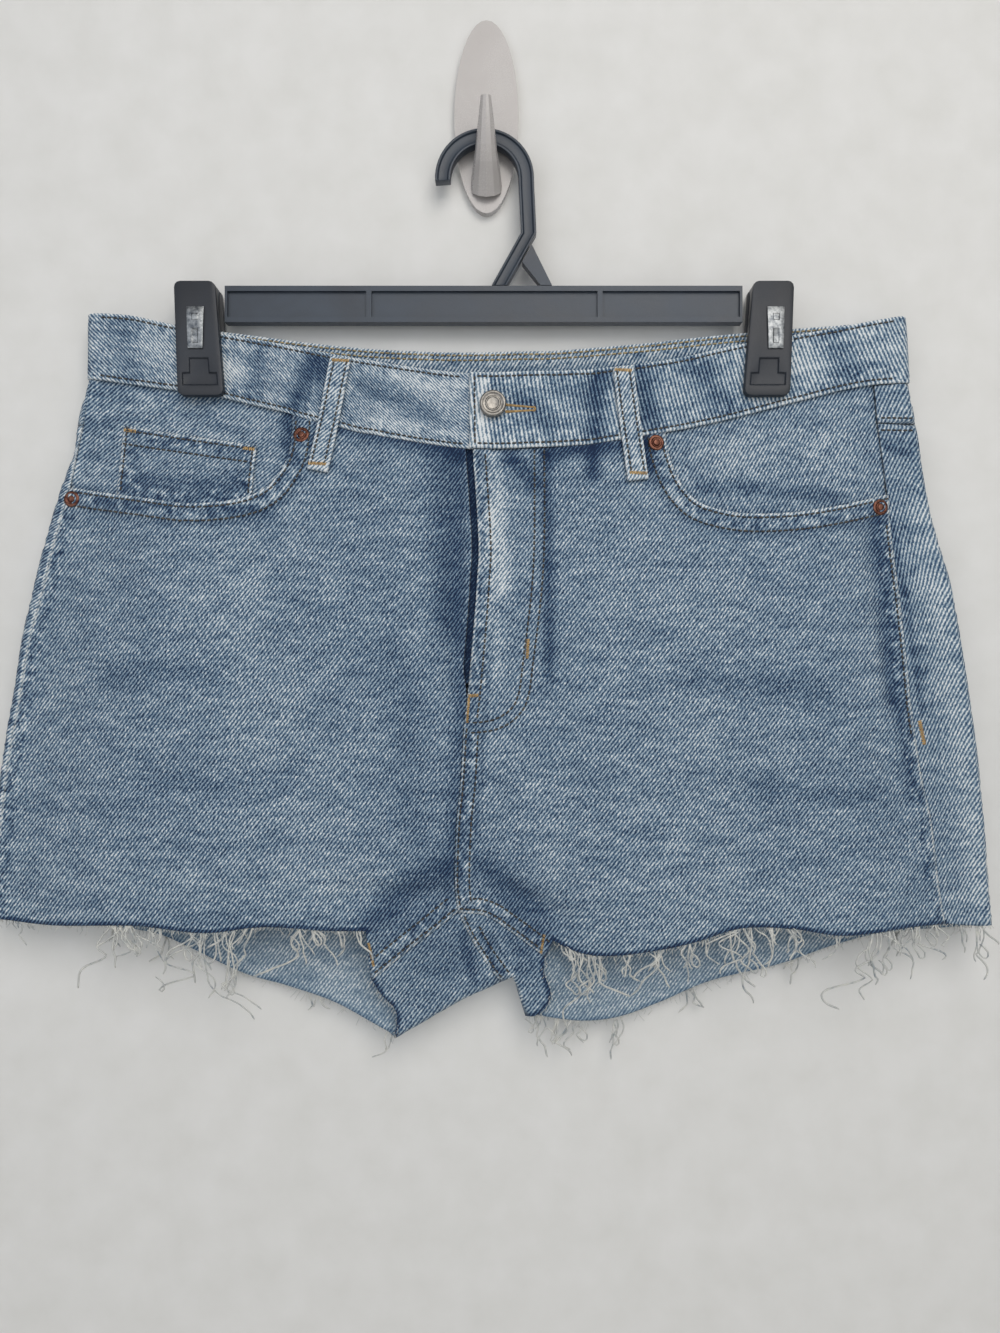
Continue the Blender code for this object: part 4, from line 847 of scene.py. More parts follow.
frontRight = clothPiece("front_panel_right", [("front", [
    ("seam", bandEdge(-111.0, -11.4)),
    ("seam", underEdge[1:]),
    ("seam", curveThrough(rightInseam)),
    ("hem", curveThrough(rightFrontHem)),
    ("seam", curveThrough(rightSideSeam)[::-1]),
    ("edge", curveThrough(rightScoop)[::-1][:-1]),
])], lifts=(("inseamRight", 10.5, 0.9), ("scoopRight", 10.0, 1.25), ("sideRight", 5.0, 0.3)))
frontLeft = clothPiece("front_panel_left", [("front", [
    ("seam", bandEdge(-7.4, 102.4)),
    ("edge", curveThrough(leftScoop)[1:]),
    ("seam", curveThrough(leftSideSeam)),
    ("hem", curveThrough(leftFrontHem)),
    ("seam", curveThrough(leftInseam)),
    ("seam", flyTop[::-1][:-1]),
])], lifts=(("fly", 9.0, 0.9), ("inseamLeft", 10.0, 0.9), ("scoopLeft", 10.0, 1.0), ("sideLeft", 5.5, 0.4)))
print("stage: front panels made")

rightFoldLine, leftFoldLine = foldLines[0], foldLines[1]
yokeLine = curveThrough(yokeSeam)
rightYoke = [p for p in yokeLine if p[0] < 4.01]
leftYoke = [p for p in yokeLine if p[0] > 3.99]
rightBelow = between(rightFoldLine, -185.3, -468.7)
leftBelow = between(leftFoldLine, -184.3, -472.7)
backRight = clothPiece("back_panel_right", [
    ("back", [
        ("fold", rightBelow),
        ("hem", curveThrough(rightBackHem)[1:-1]),
        ("fold", foldLines[2]),
        ("seam", curveThrough(seatSeamBack)[1:]),
        ("seam", rightYoke[::-1][1:-1]),
    ]),
    ("front", [
        ("fold", rightBelow),
        ("seam", curveThrough(rightSideSeam)[::-1]),
        ("seam", between(rightSideTop, -185.5, -221.8)[::-1][1:]),
    ]),
    ("front", [
        ("seam", curveThrough(rightInseam)),
        ("hem", curveThrough(rightRawEdge)[1:-1]),
        ("fold", foldLines[2]),
        ("seam", curveThrough(seatSeamFront)[::-1][1:-1]),
    ]),
], lifts=(("seatBack", 9.0, 0.5), ("sideRight", 3.0, 0.2)), wraps=True)
backLeft = clothPiece("back_panel_left", [
    ("back", [
        ("fold", leftBelow),
        ("hem", curveThrough(leftBackHem)[::-1][1:-1]),
        ("fold", foldLines[3][::-1]),
        ("seam", curveThrough(seatSeamBack)[1:]),
        ("seam", leftYoke[1:-1]),
    ]),
    ("front", [
        ("fold", leftBelow),
        ("seam", curveThrough(leftSideSeam)[::-1]),
        ("seam", between(leftSideTop, -184.6, -226.2)[::-1][1:]),
    ]),
    ("front", [
        ("seam", curveThrough(leftInseam)[:-1]),
        ("seam", curveThrough(seatSeamFront)[:-1]),
        ("fold", foldLines[3]),
        ("hem", curveThrough(leftRawEdge)[1:-1]),
    ]),
], lifts=(("seatFront", 8.0, 0.8),), wraps=True)
print("stage: back panels made")

backBandLine = curveThrough(backBandFoot)
yokeRight = clothPiece("yoke_panel_right", [
    ("back", [
        ("fold", between(rightFoldLine, -159.0, -184.7)),
        ("seam", rightYoke[1:]),
        ("seam", curveThrough(yokeMiddle)[1:-1]),
        ("seam", [p for p in backBandLine if p[0] < 4.0][::-1][:-1]),
    ]),
    ("front", [
        ("fold", between(rightFoldLine, -159.0, -184.7)),
        ("seam", between(rightSideTop, -159.0, -184.7)[::-1]),
    ]),
], lifts=(("yoke", 9.0, 0.7),), tone=0.05, wraps=True)
yokeLeft = clothPiece("yoke_panel_left", [
    ("back", [
        ("fold", between(leftFoldLine, -161.2, -183.6)),
        ("seam", leftYoke[::-1][1:]),
        ("seam", curveThrough(yokeMiddle)[1:-1]),
        ("seam", [p for p in backBandLine if p[0] > 4.0][:-1]),
    ]),
    ("front", [
        ("fold", between(leftFoldLine, -161.2, -183.6)),
        ("seam", between(leftSideTop, -162.6, -183.9)[::-1]),
    ]),
], lifts=(("yoke", 9.0, 0.7), ("seatBack", 9.0, 0.4)), tone=0.05, wraps=True)

facingTuck = 9.0  # mm that the facings go down behind the pocket openings
deep = -(cloth["thickness"] + 0.75)
rightFoot = shifted(curveThrough(rightScoop, 12.0)[4:-1], 0.0, -facingTuck)
leftFoot = shifted(curveThrough(leftScoop, 12.0)[4:-1], 0.0, -facingTuck)
facingRight = clothPiece("pocket_facing_right", [("front", [
    ("seam", shifted(bandEdge(-228.0, -102.0), 0.0, 3.0)),
    ("seam", [np.array((-102.0, -205.0))]),
    ("seam", rightFoot),
    ("seam", [np.array((-236.0, -230.5))]),
    ("seam", shifted(between(rightSideTop, -160.5, -221.8)[::-1], -0.3)),
])], seams=("scoopRight", "bandFoot", "sideRight"), out=deep, step=3.2, turn=8.0)
facingLeft = clothPiece("pocket_facing_left", [("front", [
    ("seam", shifted(bandEdge(93.4, 223.4), 0.0, 3.0)),
    ("seam", shifted(between(leftSideTop, -163.0, -226.2), 0.3)),
    ("seam", [np.array((229.4, -235.0))]),
    ("seam", leftFoot[::-1]),
    ("seam", [np.array((93.4, -207.0))]),
])], seams=("scoopLeft", "bandFoot", "sideLeft"), out=deep, step=3.2, turn=-6.0)
coinOutline = [np.array(point, float) for point in coinPocketShape]
seamLines["coin"] = [p for a, b in zip(coinOutline, coinOutline[1:] + coinOutline[:1])
                     for p in (a + (b - a) * share for share in np.arange(0, 1, 0.1))] + [coinOutline[0]]
frontSeams += ("coin",)
coinPocket = clothPiece("coin_pocket_patch", [("front", [("edge", seamLines["coin"][:-1])])],
                        lifts=(("coin", 7.0, 0.25),), seams=("coin",), step=2.4, gap=0.0, turn=3.0, tone=-0.1)

backPockets = {}
mouthEnd = round(2 * 73 / 4.0)  # the number of the outline's point at the mouth's far end
for side, (x, z, lean) in backPocketPlaces.items():
    angle = math.radians(lean)
    corners = [np.array((x + across * math.cos(angle) - down * math.sin(angle),
                         z + across * math.sin(angle) + down * math.cos(angle)))
               for across, down in backPocketShape]
    outline = []
    for start, end in zip(corners, corners[1:] + corners[:1]):
        shares = np.arange(0, 1, 4.0 / np.hypot(*(end - start)))
        outline += [start + (end - start) * share for share in shares]
    name = "pocket" + side.capitalize()
    seamLines[name] = outline + [outline[0]]
    backSeams += (name,)
    backPockets[side] = clothPiece("back_pocket_patch_" + side, [("back", [("edge", outline)])],
                                   lifts=((name, 9.0, 0.3),), seams=(name,),
                                   out=cloth["thickness"] + 0.95, gap=0.0, turn=lean, tone=0.06)

flyParts = {}
# both are darkened by a tone of -0.55: painted shade, for the slit under the fly's edge where they show
for name, out, near, far in (("fly_zip_tape", deep, 3.0, 24.0), ("fly_shield_cloth", 2 * deep, -15.0, 27.0)):
    line = [np.array((-7.6, -197.0))] + between(flyTop, -203.0, -334.0)
    chains = [("edge", shifted(line, near)), ("edge", shifted(line, far)[::-1])]
    flyParts[name] = clothPiece(name, [("front", chains)],
                                seams=("fly",), out=out, step=4.0, gap=0.0, tone=-0.55, worn=False)
print("stage: yokes, facings, pockets and fly made")

# ---- the waistband: one doubled strip from under the button round the back to the button
band = {
    "endX": -9.3,      # the end that carries the buttonhole
    "underX": 22.0,    # the end that lies under it and carries the button
    "ease": 28.0,
    "out": 1.5,        # mm that the upper end stands out, and the lower end in
    "in": 1.7,
    "step": 3.0,
    "tone": 0.13,
    # the band's tone strokes dent it and darken it: the darkening is painted shade in the dents and beside
    # the belt loops
    "dents": 2.2,      # mm of height for one of tone, where the band is creased
    "part": 50.0,      # keeps its pattern apart from the panels'
    "roped": 0.7,
}
bandRows = (0.0, 0.15, 0.5, 1.1, 2.0, 3.2, 5.0, 8.0, 11.5, 15.0, 18.5)


def buildWaistband():
    right, left = rightFold[0][0], leftFold[0][0]
    lines = {"front": (curveThrough(bandTop), curveThrough(bandFoot)),
             "back": (curveThrough(backBandTop), curveThrough(backBandFoot))}
    end, underX = band["endX"], band["underX"]
    nearFold = (12.0, 9.0, 6.5, 4.5, 3.0, 1.8, 0.9, 0.3)
    rounding = (0.0, 0.15, 0.5, 1.1, 2.0)

    def span(a, b):
        count = max(2, round(abs(b - a) / band["step"]))
        return list(np.linspace(a, b, count + 1))

    stations = [(underX - gap, "front", "under") for gap in rounding]
    stations += [(x, "front", "under") for x in span(underX - 3.5, end)]
    stations += [(x, "front", "lower") for x in span(end - 2.5, right + 15)]
    stations += [(right + gap, "front", "lower") for gap in nearFold] + [(right, "fold", "")]
    stations += [(right + gap, "back", "") for gap in nearFold[::-1]]
    stations += [(x, "back", "") for x in span(right + 15, left - 15)]
    stations += [(left - gap, "back", "") for gap in nearFold] + [(left, "fold", "")]
    stations += [(left - gap, "front", "upper") for gap in nearFold[::-1]]
    stations += [(x, "front", "upper") for x in span(left - 15, end + 3.5)]
    stations += [(end + gap, "front", "upper") for gap in rounding[::-1]]
    flats, layers, outs = [], [], []
    for x, layer, lap in stations:
        tops, feet = lines["back" if layer == "back" else "front"]
        top = np.array((x, heightOn(tops, x)))
        footX = x
        for fold, edge in ((rightFold, right), (leftFold, left)):
            if abs(x - edge) < 12:
                footX = x + (fold[1][0] - edge) * (1 - abs(x - edge) / 12)
        foot = np.array((footX, heightOn(feet, footX)))
        tall = float(np.hypot(*(foot - top)))
        downs = sorted(set(bandRows) | {tall - row for row in bandRows if tall - row > bandRows[-1] + 1.0})
        downs = np.interp(np.linspace(0, len(downs) - 1, 2 * len(bandRows)), range(len(downs)), downs)
        flats.append([top + (foot - top) * down / tall for down in downs])
        layers.append(layer)
        ramped = 1.0 - float(smooth((abs(x - end) - (underX - end)) / band["ease"]))
        shift = {"under": -band["in"], "lower": -band["in"] * ramped, "upper": band["out"] * ramped}
        outs.append(cloth["bandProud"] + shift.get(lap, 0.0))
    flats = np.array(flats)
    rows = flats.shape[1]
    grid = np.zeros((len(stations), rows, 3))
    for number, (flat, layer, out) in enumerate(zip(flats, layers, outs)):
        y = levelAt(1, flat[:, 1]) if layer == "fold" else depthAt(flat, layer, out)
        grid[number] = np.stack((flat[:, 0], y, flat[:, 1]), axis=1)
    down = np.linalg.norm(flats - flats[:, :1], axis=2)
    tall = down[:, -1:]
    length = np.concatenate(([0.0], np.cumsum(np.linalg.norm(np.diff(grid[:, rows // 2], axis=0), axis=1))))
    along = np.repeat(length[:, None], rows, axis=1)
    fromEdge = np.minimum(down, tall - down)
    ridge = np.sin(2 * math.pi * (along + 0.8 * down) / 6.8 + 1.7 * np.sin(along / 13.0))
    isFront = np.array([layer == "front" for layer in layers])[:, None]
    strokes = foldHeights(flats.reshape(-1, 2), washAndShadeStrokes["band"]).reshape(down.shape)
    profile = 0.2 * ridge * (1 - smooth((fromEdge - 1.5) / 3.0))
    profile = profile - 0.3 * np.exp(-((fromEdge - 2.6) / 0.7) ** 2)  # the stitched groove
    profile = profile + np.where(isFront, strokes * band["dents"], 0.0)
    # away from the clips' pads, where the band is pressed flat
    for side in ("right", "left"):
        clear = smooth((np.abs(flats[:, :, 0] - clips[side]) - clips["half"] - 1.0) / 14.0)
        profile = profile * clear
    obj, run = pillowStrip("waistband_cloth", grid, cloth["bandThickness"], [denim], profile)
    # cut across the grain on a slight curve: the ribs lie flatter at the button end and steeper at the other
    slant = along - down * (-0.45 + 1.1 * along / run[-1])
    # on the front the strokes' darkening is painted shade in the dents, and their paling is painted light on
    # the raised parts
    washAndShade = np.where(isFront, strokes, 0.0) + band["tone"]
    toEdge = np.minimum(fromEdge, np.minimum(along, run[-1] - along))
    dressStrip(obj, slant, -down, band["part"], toEdge, along, band["roped"], washAndShade)
    return sealed(obj)


waistband = buildWaistband()
print("stage: waistband made")


# ---- belt loops: folded strips with two rows of stitching, tacked at both ends
loopTable = (
    # name, layer, top x, top z, foot x, foot z
    ("front_right", "front", -82.8, -147.5, -95.0, -214.0),
    ("front_left", "front", 77.9, -153.5, 85.8, -219.5),
    ("back_right", "back", -122.0, -133.5, -124.0, -199.0),
    ("back_left", "back", 128.0, -132.5, 130.0, -198.0),
    ("back_centre", "back", 16.0, -139.5, 16.0, -205.0),
)
loopLooks = {
    "width": 12.0,
    "thickness": 2.0,
    "stand": {"front": 3.6, "back": 2.5},
    "bow": 0.9,
    "drawnIn": 0.75,
    "edgeRidge": 0.28,
    "tone": 0.16,
    "part": 11.0,
    "roped": 0.6,
}


def buildLoop(name, layer, topX, topZ, footX, footZ):
    top, foot = np.array((topX, topZ)), np.array((footX, footZ))
    along = (foot - top) / np.linalg.norm(foot - top)
    across = np.array((-along[1], along[0])) * loopLooks["width"] / 2
    outward = -1.0 if layer == "front" else 1.0
    tips = np.array((0.0, 0.004, 0.012, 0.022))
    shares = np.concatenate((tips, np.linspace(0.04, 0.96, 28), 1.0 - tips[::-1]))
    sides = np.array((0.0, 0.25, 0.5, 0.7, 0.84, 0.93, 0.985, 1.0))
    sides = np.concatenate((-sides[:0:-1], sides))
    grid, profile = [], []
    for share in shares:
        middle = top + (foot - top) * share
        points = np.array([middle + across * side for side in sides])
        # it bows out over the band and is drawn in again where its foot is sewn down
        stand = loopLooks["stand"][layer] + loopLooks["bow"] * math.sin(math.pi * min(share / 0.6, 1.0))
        stand -= loopLooks["drawnIn"] * float(smooth((share - 0.68) / 0.2))
        level = depthAt(np.array([middle] * len(sides)), layer)
        y = level * 0.6 + depthAt(points, layer) * 0.4 + outward * stand
        row = np.stack((points[:, 0], y, points[:, 1]), axis=1)
        grid.append(row if layer == "front" else row[::-1])
        ridge = loopLooks["edgeRidge"] * (1 - np.clip((1 - np.abs(sides)) / 0.45, 0, 1) ** 2)
        rope = 0.16 * np.sin(share * 66 + 2.2 * np.sign(sides)) * (np.abs(sides) > 0.6)
        fold = 0.35 * (share < 0.09) + 0.35 * (share > 0.92)
        profile.append(ridge + rope + fold - 0.22 * np.exp(-((np.abs(sides) - 0.62) / 0.1) ** 2))
    profile = np.array(profile)
    obj, run = pillowStrip("belt_loop_cloth_" + name, grid, loopLooks["thickness"], [denim], profile)
    half = loopLooks["width"] / 2
    u = np.broadcast_to(sides * half, (len(shares), len(sides)))
    v = -np.broadcast_to(run[:, None], u.shape)
    ends = 0.16 * (np.exp(-(run / 5.0) ** 2) + np.exp(-((run[-1] - run) / 5.0) ** 2))
    tone = np.broadcast_to(ends[:, None] + loopLooks["tone"], u.shape)
    dressStrip(obj, u + topX, v, loopLooks["part"], half - np.abs(u), -v, loopLooks["roped"], tone)
    return sealed(obj)


beltLoops = {row[0]: buildLoop(*row) for row in loopTable}
print("stage: belt loops made")


# ---- sewing thread, stitch by stitch, laid on the finished cloth
stitching = {
    "length": 2.9,
    "gap": 0.35,
    "sides": 5,
    "row": (0.56, 0.34, 0.3),      # radius, how far it stands up, how far its ends go in
    "tack": (0.3, 0.42, 0.2),
    "hole": (0.3, 0.5, 0.2),
    "tackPitch": 0.62,
}


def treeOf(objects):
    verts, faces = [], []
    for obj in objects:
        base = len(verts)
        verts += [tuple(vert.co) for vert in obj.data.vertices]
        faces += [tuple(base + index for index in polygon.vertices) for polygon in obj.data.polygons]
    return BVHTree.FromPolygons(verts, faces)


def beside(line, distance, toward):  # a line at a distance from another, on the side of a place
    line = [np.array(point, float) for point in line]
    near, far = [], []
    for before, point, after in zip([line[0]] + line, line, line[1:] + [line[-1]]):
        along = (after - before) / max(np.linalg.norm(after - before), 1e-9)
        normal = np.array((-along[1], along[0])) * distance
        near.append(point + normal)
        far.append(point - normal)
    middle = len(line) // 2
    reach = [np.linalg.norm(side[middle] - np.array(toward, float)) for side in (near, far)]
    return near if reach[0] < reach[1] else far


def clipped(line, lowX=-999, highX=999, lowZ=-999, highZ=999):
    return [p for p in line if lowX <= p[0] <= highX and lowZ <= p[1] <= highZ]


def evenly(line, pitch):
    line = np.array(line)
    travelled = np.concatenate(([0.0], np.cumsum(np.linalg.norm(np.diff(line, axis=0), axis=1))))
    places = np.arange(pitch / 2, travelled[-1] - pitch / 4, pitch)
    return np.stack([np.interp(places, travelled, line[:, i]) for i in (0, 1)], axis=1)


def stitchMesh(verts, faces, start, end, surface, kind):  # one stitch, a spindle that dips into the cloth
    radius, lift, sink = stitching[kind]
    hits = []
    for share in (0.0, 0.5, 1.0):
        point = start + (end - start) * share
        found = surface(point)
        if found is None:
            return
        hits.append(found)
    (first, up), (middle, upMiddle), (last, _) = hits
    if (first - last).length > 2.2 * float(np.linalg.norm(end - start)):
        return
    normal = (up + upMiddle).normalized()
    run = (last - first).normalized()
    sideways = run.cross(normal).normalized()
    normal = sideways.cross(run).normalized()
    spine = ((0.0, -sink, 0.0), (0.14, lift * 0.35, 0.85), (0.5, lift, 1.0), (0.86, lift * 0.35, 0.85),
             (1.0, -sink, 0.0))
    rings = []
    for share, height, fat in spine:
        centre = first + (last - first) * share + normal * height
        if 0.2 < share < 0.8:
            centre = middle + normal * height
        if fat == 0.0:
            rings.append([len(verts)])
            verts.append(centre)
            continue
        ring = []
        for number in range(stitching["sides"]):
            angle = 2 * math.pi * number / stitching["sides"]
            ring.append(len(verts))
            spoke = sideways * math.cos(angle) + normal * math.sin(angle) * 0.8
            verts.append(centre + spoke * radius * fat)
        rings.append(ring)
    count = stitching["sides"]
    for i in range(count):
        j = (i + 1) % count
        faces.append((rings[0][0], rings[1][i], rings[1][j]))
        for low, high in zip(rings[1:3], rings[2:4]):
            faces.append((low[i], high[i], high[j], low[j]))
        faces.append((rings[4][0], rings[3][j], rings[3][i]))


farSide = {"front": -62.0, "back": 40.0, "inside": -15.0}  # mm in y, where the search for the cloth starts
trees = {}


def surfaceOf(target, layer):  # gives a function that finds the cloth's place and normal at a point
    direction = Vector((0, -1 if layer == "back" else 1, 0))
    key = tuple(obj.name for obj in target)
    if key not in trees:
        trees[key] = treeOf(target)

    def find(point):
        origin = Vector((point[0], farSide[layer], point[1])) * mm
        place, normal = trees[key].ray_cast(origin, direction, 0.08)[:2]
        if place is None:
            return None
        if normal.dot(direction) > 0:
            normal = -normal
        return place / mm, normal
    return find


def sewRows(name, rows, material):
    verts, faces = [], []
    for target, layer, line in rows:
        surface = surfaceOf(target, layer)
        marks = evenly(line, stitching["length"] + stitching["gap"])
        for mark, before, after in zip(marks, [marks[0], *marks], [*marks[1:], marks[-1]]):
            half = (after - before) / max(np.linalg.norm(after - before), 1e-9) * stitching["length"] / 2
            stitchMesh(verts, faces, mark - half, mark + half, surface, "row")
    threadPiece(name, verts, faces, material)


def sewTacks(name, tacks, material):  # bar tacks: a row of close short stitches across a strain point
    verts, faces = [], []
    for target, layer, fromX, fromZ, toX, toZ, wide in tacks:
        surface = surfaceOf(target, layer)
        start, end = np.array((fromX, fromZ)), np.array((toX, toZ))
        length = float(np.linalg.norm(end - start))
        along = (end - start) / length
        across = np.array((-along[1], along[0])) * wide / 2
        count = max(3, round(length / stitching["tackPitch"]))
        for number in range(count):
            point = start + (end - start) * (number + 0.5) / count
            lean = along * (0.35 if number % 2 else -0.1)
            stitchMesh(verts, faces, point - across - lean, point + across + lean, surface, "tack")
    threadPiece(name, verts, faces, material)


def threadPiece(name, verts, faces, material):
    obj = newObject(name, [vert * mm for vert in verts], faces, [material])
    pieceFor(obj, "loose_threads")


# Core spun polyester sewing thread, dyed dark and faded in the wash: slightly glossy, with paler crowns
def threadMaterial(name, dark, light):
    material, tree, shader = newMaterial(name)
    coords = node(tree, "TexCoord", give="Object")
    fade = node(tree, "TexNoise", {"Vector": coords, "Scale": 260.0, "Detail": 3.0, "Roughness": 0.7})
    shade = node(tree, "ValToRGB", {"Fac": fade}, stops=((0.34, dark), (0.68, light)))
    ply = node(tree, "TexNoise", {"Vector": coords, "Scale": 2600.0, "Detail": 1.0})
    bump = node(tree, "Bump", {"Height": ply, "Strength": 0.5, "Distance": 0.0002})
    tree.links.new(shade, shader.inputs["Base Color"])
    tree.links.new(bump, shader.inputs["Normal"])
    shader.inputs["Roughness"].default_value = 0.62
    shader.inputs["Sheen Weight"].default_value = 0.1
    return material


darkThread = threadMaterial("topstitchThread", "#1C2126", "#4C463D")
tanThread = threadMaterial("tackThread", "#85683A", "#C3A26C")
innerThread = threadMaterial("waistStitchThread", "#6E6145", "#B5A277")

backTopLine, backFootLine = curveThrough(backBandTop), curveThrough(backBandFoot)
seamLines["bandTop"] = curveThrough(bandTop)
seamLines["flyCurve"] = curveThrough(flyCurve)
bandLines = (
    # layer, line, how far up, lowest x, highest x
    ("front", seamLines["bandTop"], -2.6, -226, -12.5), ("front", seamLines["bandTop"], -2.6, -6.6, 238),
    ("front", bandFootLine, 2.6, -226, -12.0), ("front", bandFootLine, 2.6, -6.6, 240),
    ("front", [(-6.4, -160.6), (-6.0, -199.2)], 0, -99, 99),
    ("back", backTopLine, -2.6, -225, 238), ("back", backFootLine, 2.6, -225, 238),
)
besideSeams = (
    # piece, seam, distance, a place on the side where the row runs, and where it is cut short
    (frontLeft, "fly", 6.9, (60, -300), {"lowZ": -357}),
    (frontLeft, "fly", 1.6, (60, -300), {"lowZ": -462, "highZ": -358}),
    (frontLeft, "fly", 8.2, (60, -300), {"lowZ": -460, "highZ": -362}),
    (frontLeft, "flyCurve", 2.4, (90, -260), {}),
    (frontLeft, "flyCurve", 3.2, (-10, -260), {"lowX": -9}),
    (frontRight, "scoopRight", 2.2, (-160, -300), {}),
    (frontRight, "scoopRight", 10.0, (-160, -300), {"lowZ": -260}),
    (frontLeft, "scoopLeft", 2.2, (150, -300), {}),
    (frontLeft, "scoopLeft", 10.0, (150, -300), {"lowZ": -260}),
    (frontRight, "inseamRight", 2.4, (-60, -440), {}),
    (frontRight, "inseamRight", 9.4, (-60, -440), {}),
    (frontLeft, "inseamLeft", 2.4, (40, -430), {}),
    (frontLeft, "inseamLeft", 8.8, (40, -430), {"lowX": -8}),
    (frontLeft, "sideLeft", 2.4, (100, -300), {"lowZ": -363, "highZ": -240}),
    (backLeft, "seatFront", 2.2, (30, -490), {}),
    (backLeft, "seatFront", 7.2, (30, -490), {"highZ": -470}),
)
coinLines = (
    # from, to, distance, a place on its side
    ((-209.4, -185.5), (-210.2, -225.5), 2.0, (-170, -200)),
    ((-131.8, -197.7), (-132.2, -226.4), 2.0, (-170, -200)),
    ((-208.0, -185.7), (-133.0, -197.5), 2.4, (-170, -230)),
    ((-208.0, -185.7), (-133.0, -197.5), 10.5, (-170, -230)),
)
topRows = [([waistband], layer, clipped(shifted(line, 0, up), lowX, highX))
           for layer, line, up, lowX, highX in bandLines]
for piece, seam, distance, toward, limits in besideSeams:
    topRows.append(([piece], "front", clipped(beside(seamLines[seam], distance, toward), **limits)))
for start, end, distance, toward in coinLines:
    topRows.append(([coinPocket], "front", beside([start, end], distance, toward)))
topRows.append(([yokeLeft], "front", [(224.0, -181.2), (246.0, -181.2)]))
topRows.append(([backLeft], "front", [(227.0, -188.4), (247.0, -188.4)]))
for up in (2.2, 8.6):
    topRows.append(([yokeRight, yokeLeft], "back", shifted(yokeLine, 0, up)[2:-2]))
for across in (-2.2, -8.6):
    line = clipped(shifted(seamLines["seatBack"], across), lowZ=-497, highZ=-229)
    topRows.append(([backLeft, backRight], "back", line))
for side, obj in backPockets.items():
    outline = [np.array(point) for point in seamLines["pocket" + side.capitalize()]]
    middle = sum(outline) / len(outline)
    for inward in (0.975, 0.89):
        line = [middle + (point - middle) * inward for point in outline]
        topRows.append(([obj], "back", line[mouthEnd:-1] + [line[0]]))
    start, end = middle + (outline[0] - middle) * 0.97, middle + (outline[mouthEnd] - middle) * 0.97
    for down in (5.0, 13.0):
        topRows.append(([obj], "back", [start - (0, down), end - (0, down)]))
for name, layer, topX, topZ, footX, footZ in loopTable:
    for across in (-3.7, 3.7):
        line = [(topX + across, topZ - 3), (footX + across, footZ + 3.5)]
        topRows.append(([beltLoops[name]], layer, line))
sewRows("topstitching", topRows, darkThread)
print("stage: topstitching sewn")

# the doubled row seen inside the back of the waist
waistLines = [clipped(shifted(backTopLine, 0, -down), -222, 236) for down in (2.2, 5.0)]
sewRows("inner_waist_stitching", [([waistband], "inside", line) for line in waistLines], innerThread)

tackRows = [
    # target, layer, from x, from z, to x, to z, stitch width
    ([coinPocket], "front", -209.0, -187.8, -202.0, -188.9, 2.6),
    ([coinPocket], "front", -139.5, -199.0, -132.4, -200.1, 2.6),
    ([frontLeft], "front", -9.8, -341.0, -4.0, -340.6, 2.4),
    ([frontLeft], "front", -9.4, -342.0, -10.4, -356.0, 1.8),
    ([frontLeft], "front", 23.8, -309.0, 23.2, -320.0, 2.2),
    ([backLeft], "front", 245.2, -355.0, 247.8, -368.6, 3.0),
    ([waistband], "inside", 11.0, -138.6, 21.0, -138.5, 3.4),
    ([frontRight], "front", -66.2, -476.8, -63.0, -493.0, 1.8),
    ([frontLeft], "front", 33.0, -476.0, 31.2, -487.0, 1.8),
]
for name, layer, topX, topZ, footX, footZ in loopTable:
    for x, z in ((topX, topZ - 2.4), (footX, footZ + 4.2)):
        tackRows.append(([beltLoops[name]], layer, x - 5.0, z, x + 5.0, z - 0.5, 2.4))
for side, obj in backPockets.items():
    outline = seamLines["pocket" + side.capitalize()]
    for corner, inward in ((outline[0], 2.5), (outline[mouthEnd], -2.5)):
        x, z = corner[0] + inward, corner[1]
        tackRows.append(([obj], "back", x, z - 2.4, x, z - 12.0, 3.0))
sewTacks("bar_tacks", tackRows, tanThread)

# the buttonhole: a keyhole of close stitches round a slit
buttonhole = {"fromX": 11.0, "toX": 27.2, "z": -179.3, "half": 1.0, "reach": 1.9, "pitch": 0.58}
verts, faces = [], []
surface = surfaceOf([waistband], "front")
for upward in (-1, 1):
    for x in np.arange(buttonhole["fromX"], buttonhole["toX"], buttonhole["pitch"]):
        near = 1.0 - (x - buttonhole["fromX"]) / (buttonhole["toX"] - buttonhole["fromX"])
        low = buttonhole["z"] + upward * (0.25 + buttonhole["half"] * near * 0.8)
        high = low + upward * (buttonhole["reach"] * (0.6 + 0.4 * near))
        stitchMesh(verts, faces, np.array((x, low)), np.array((x + 0.5, high)), surface, "hole")
for turn in range(-75, 76, 25):
    centre = np.array((buttonhole["toX"] - 0.6, buttonhole["z"]))
    out = np.array((math.cos(math.radians(turn)), math.sin(math.radians(turn))))
    stitchMesh(verts, faces, centre + out * 0.4, centre + out * 2.0, surface, "hole")
threadPiece("buttonhole_stitching", verts, faces, tanThread)
print("stage: thread sewn")


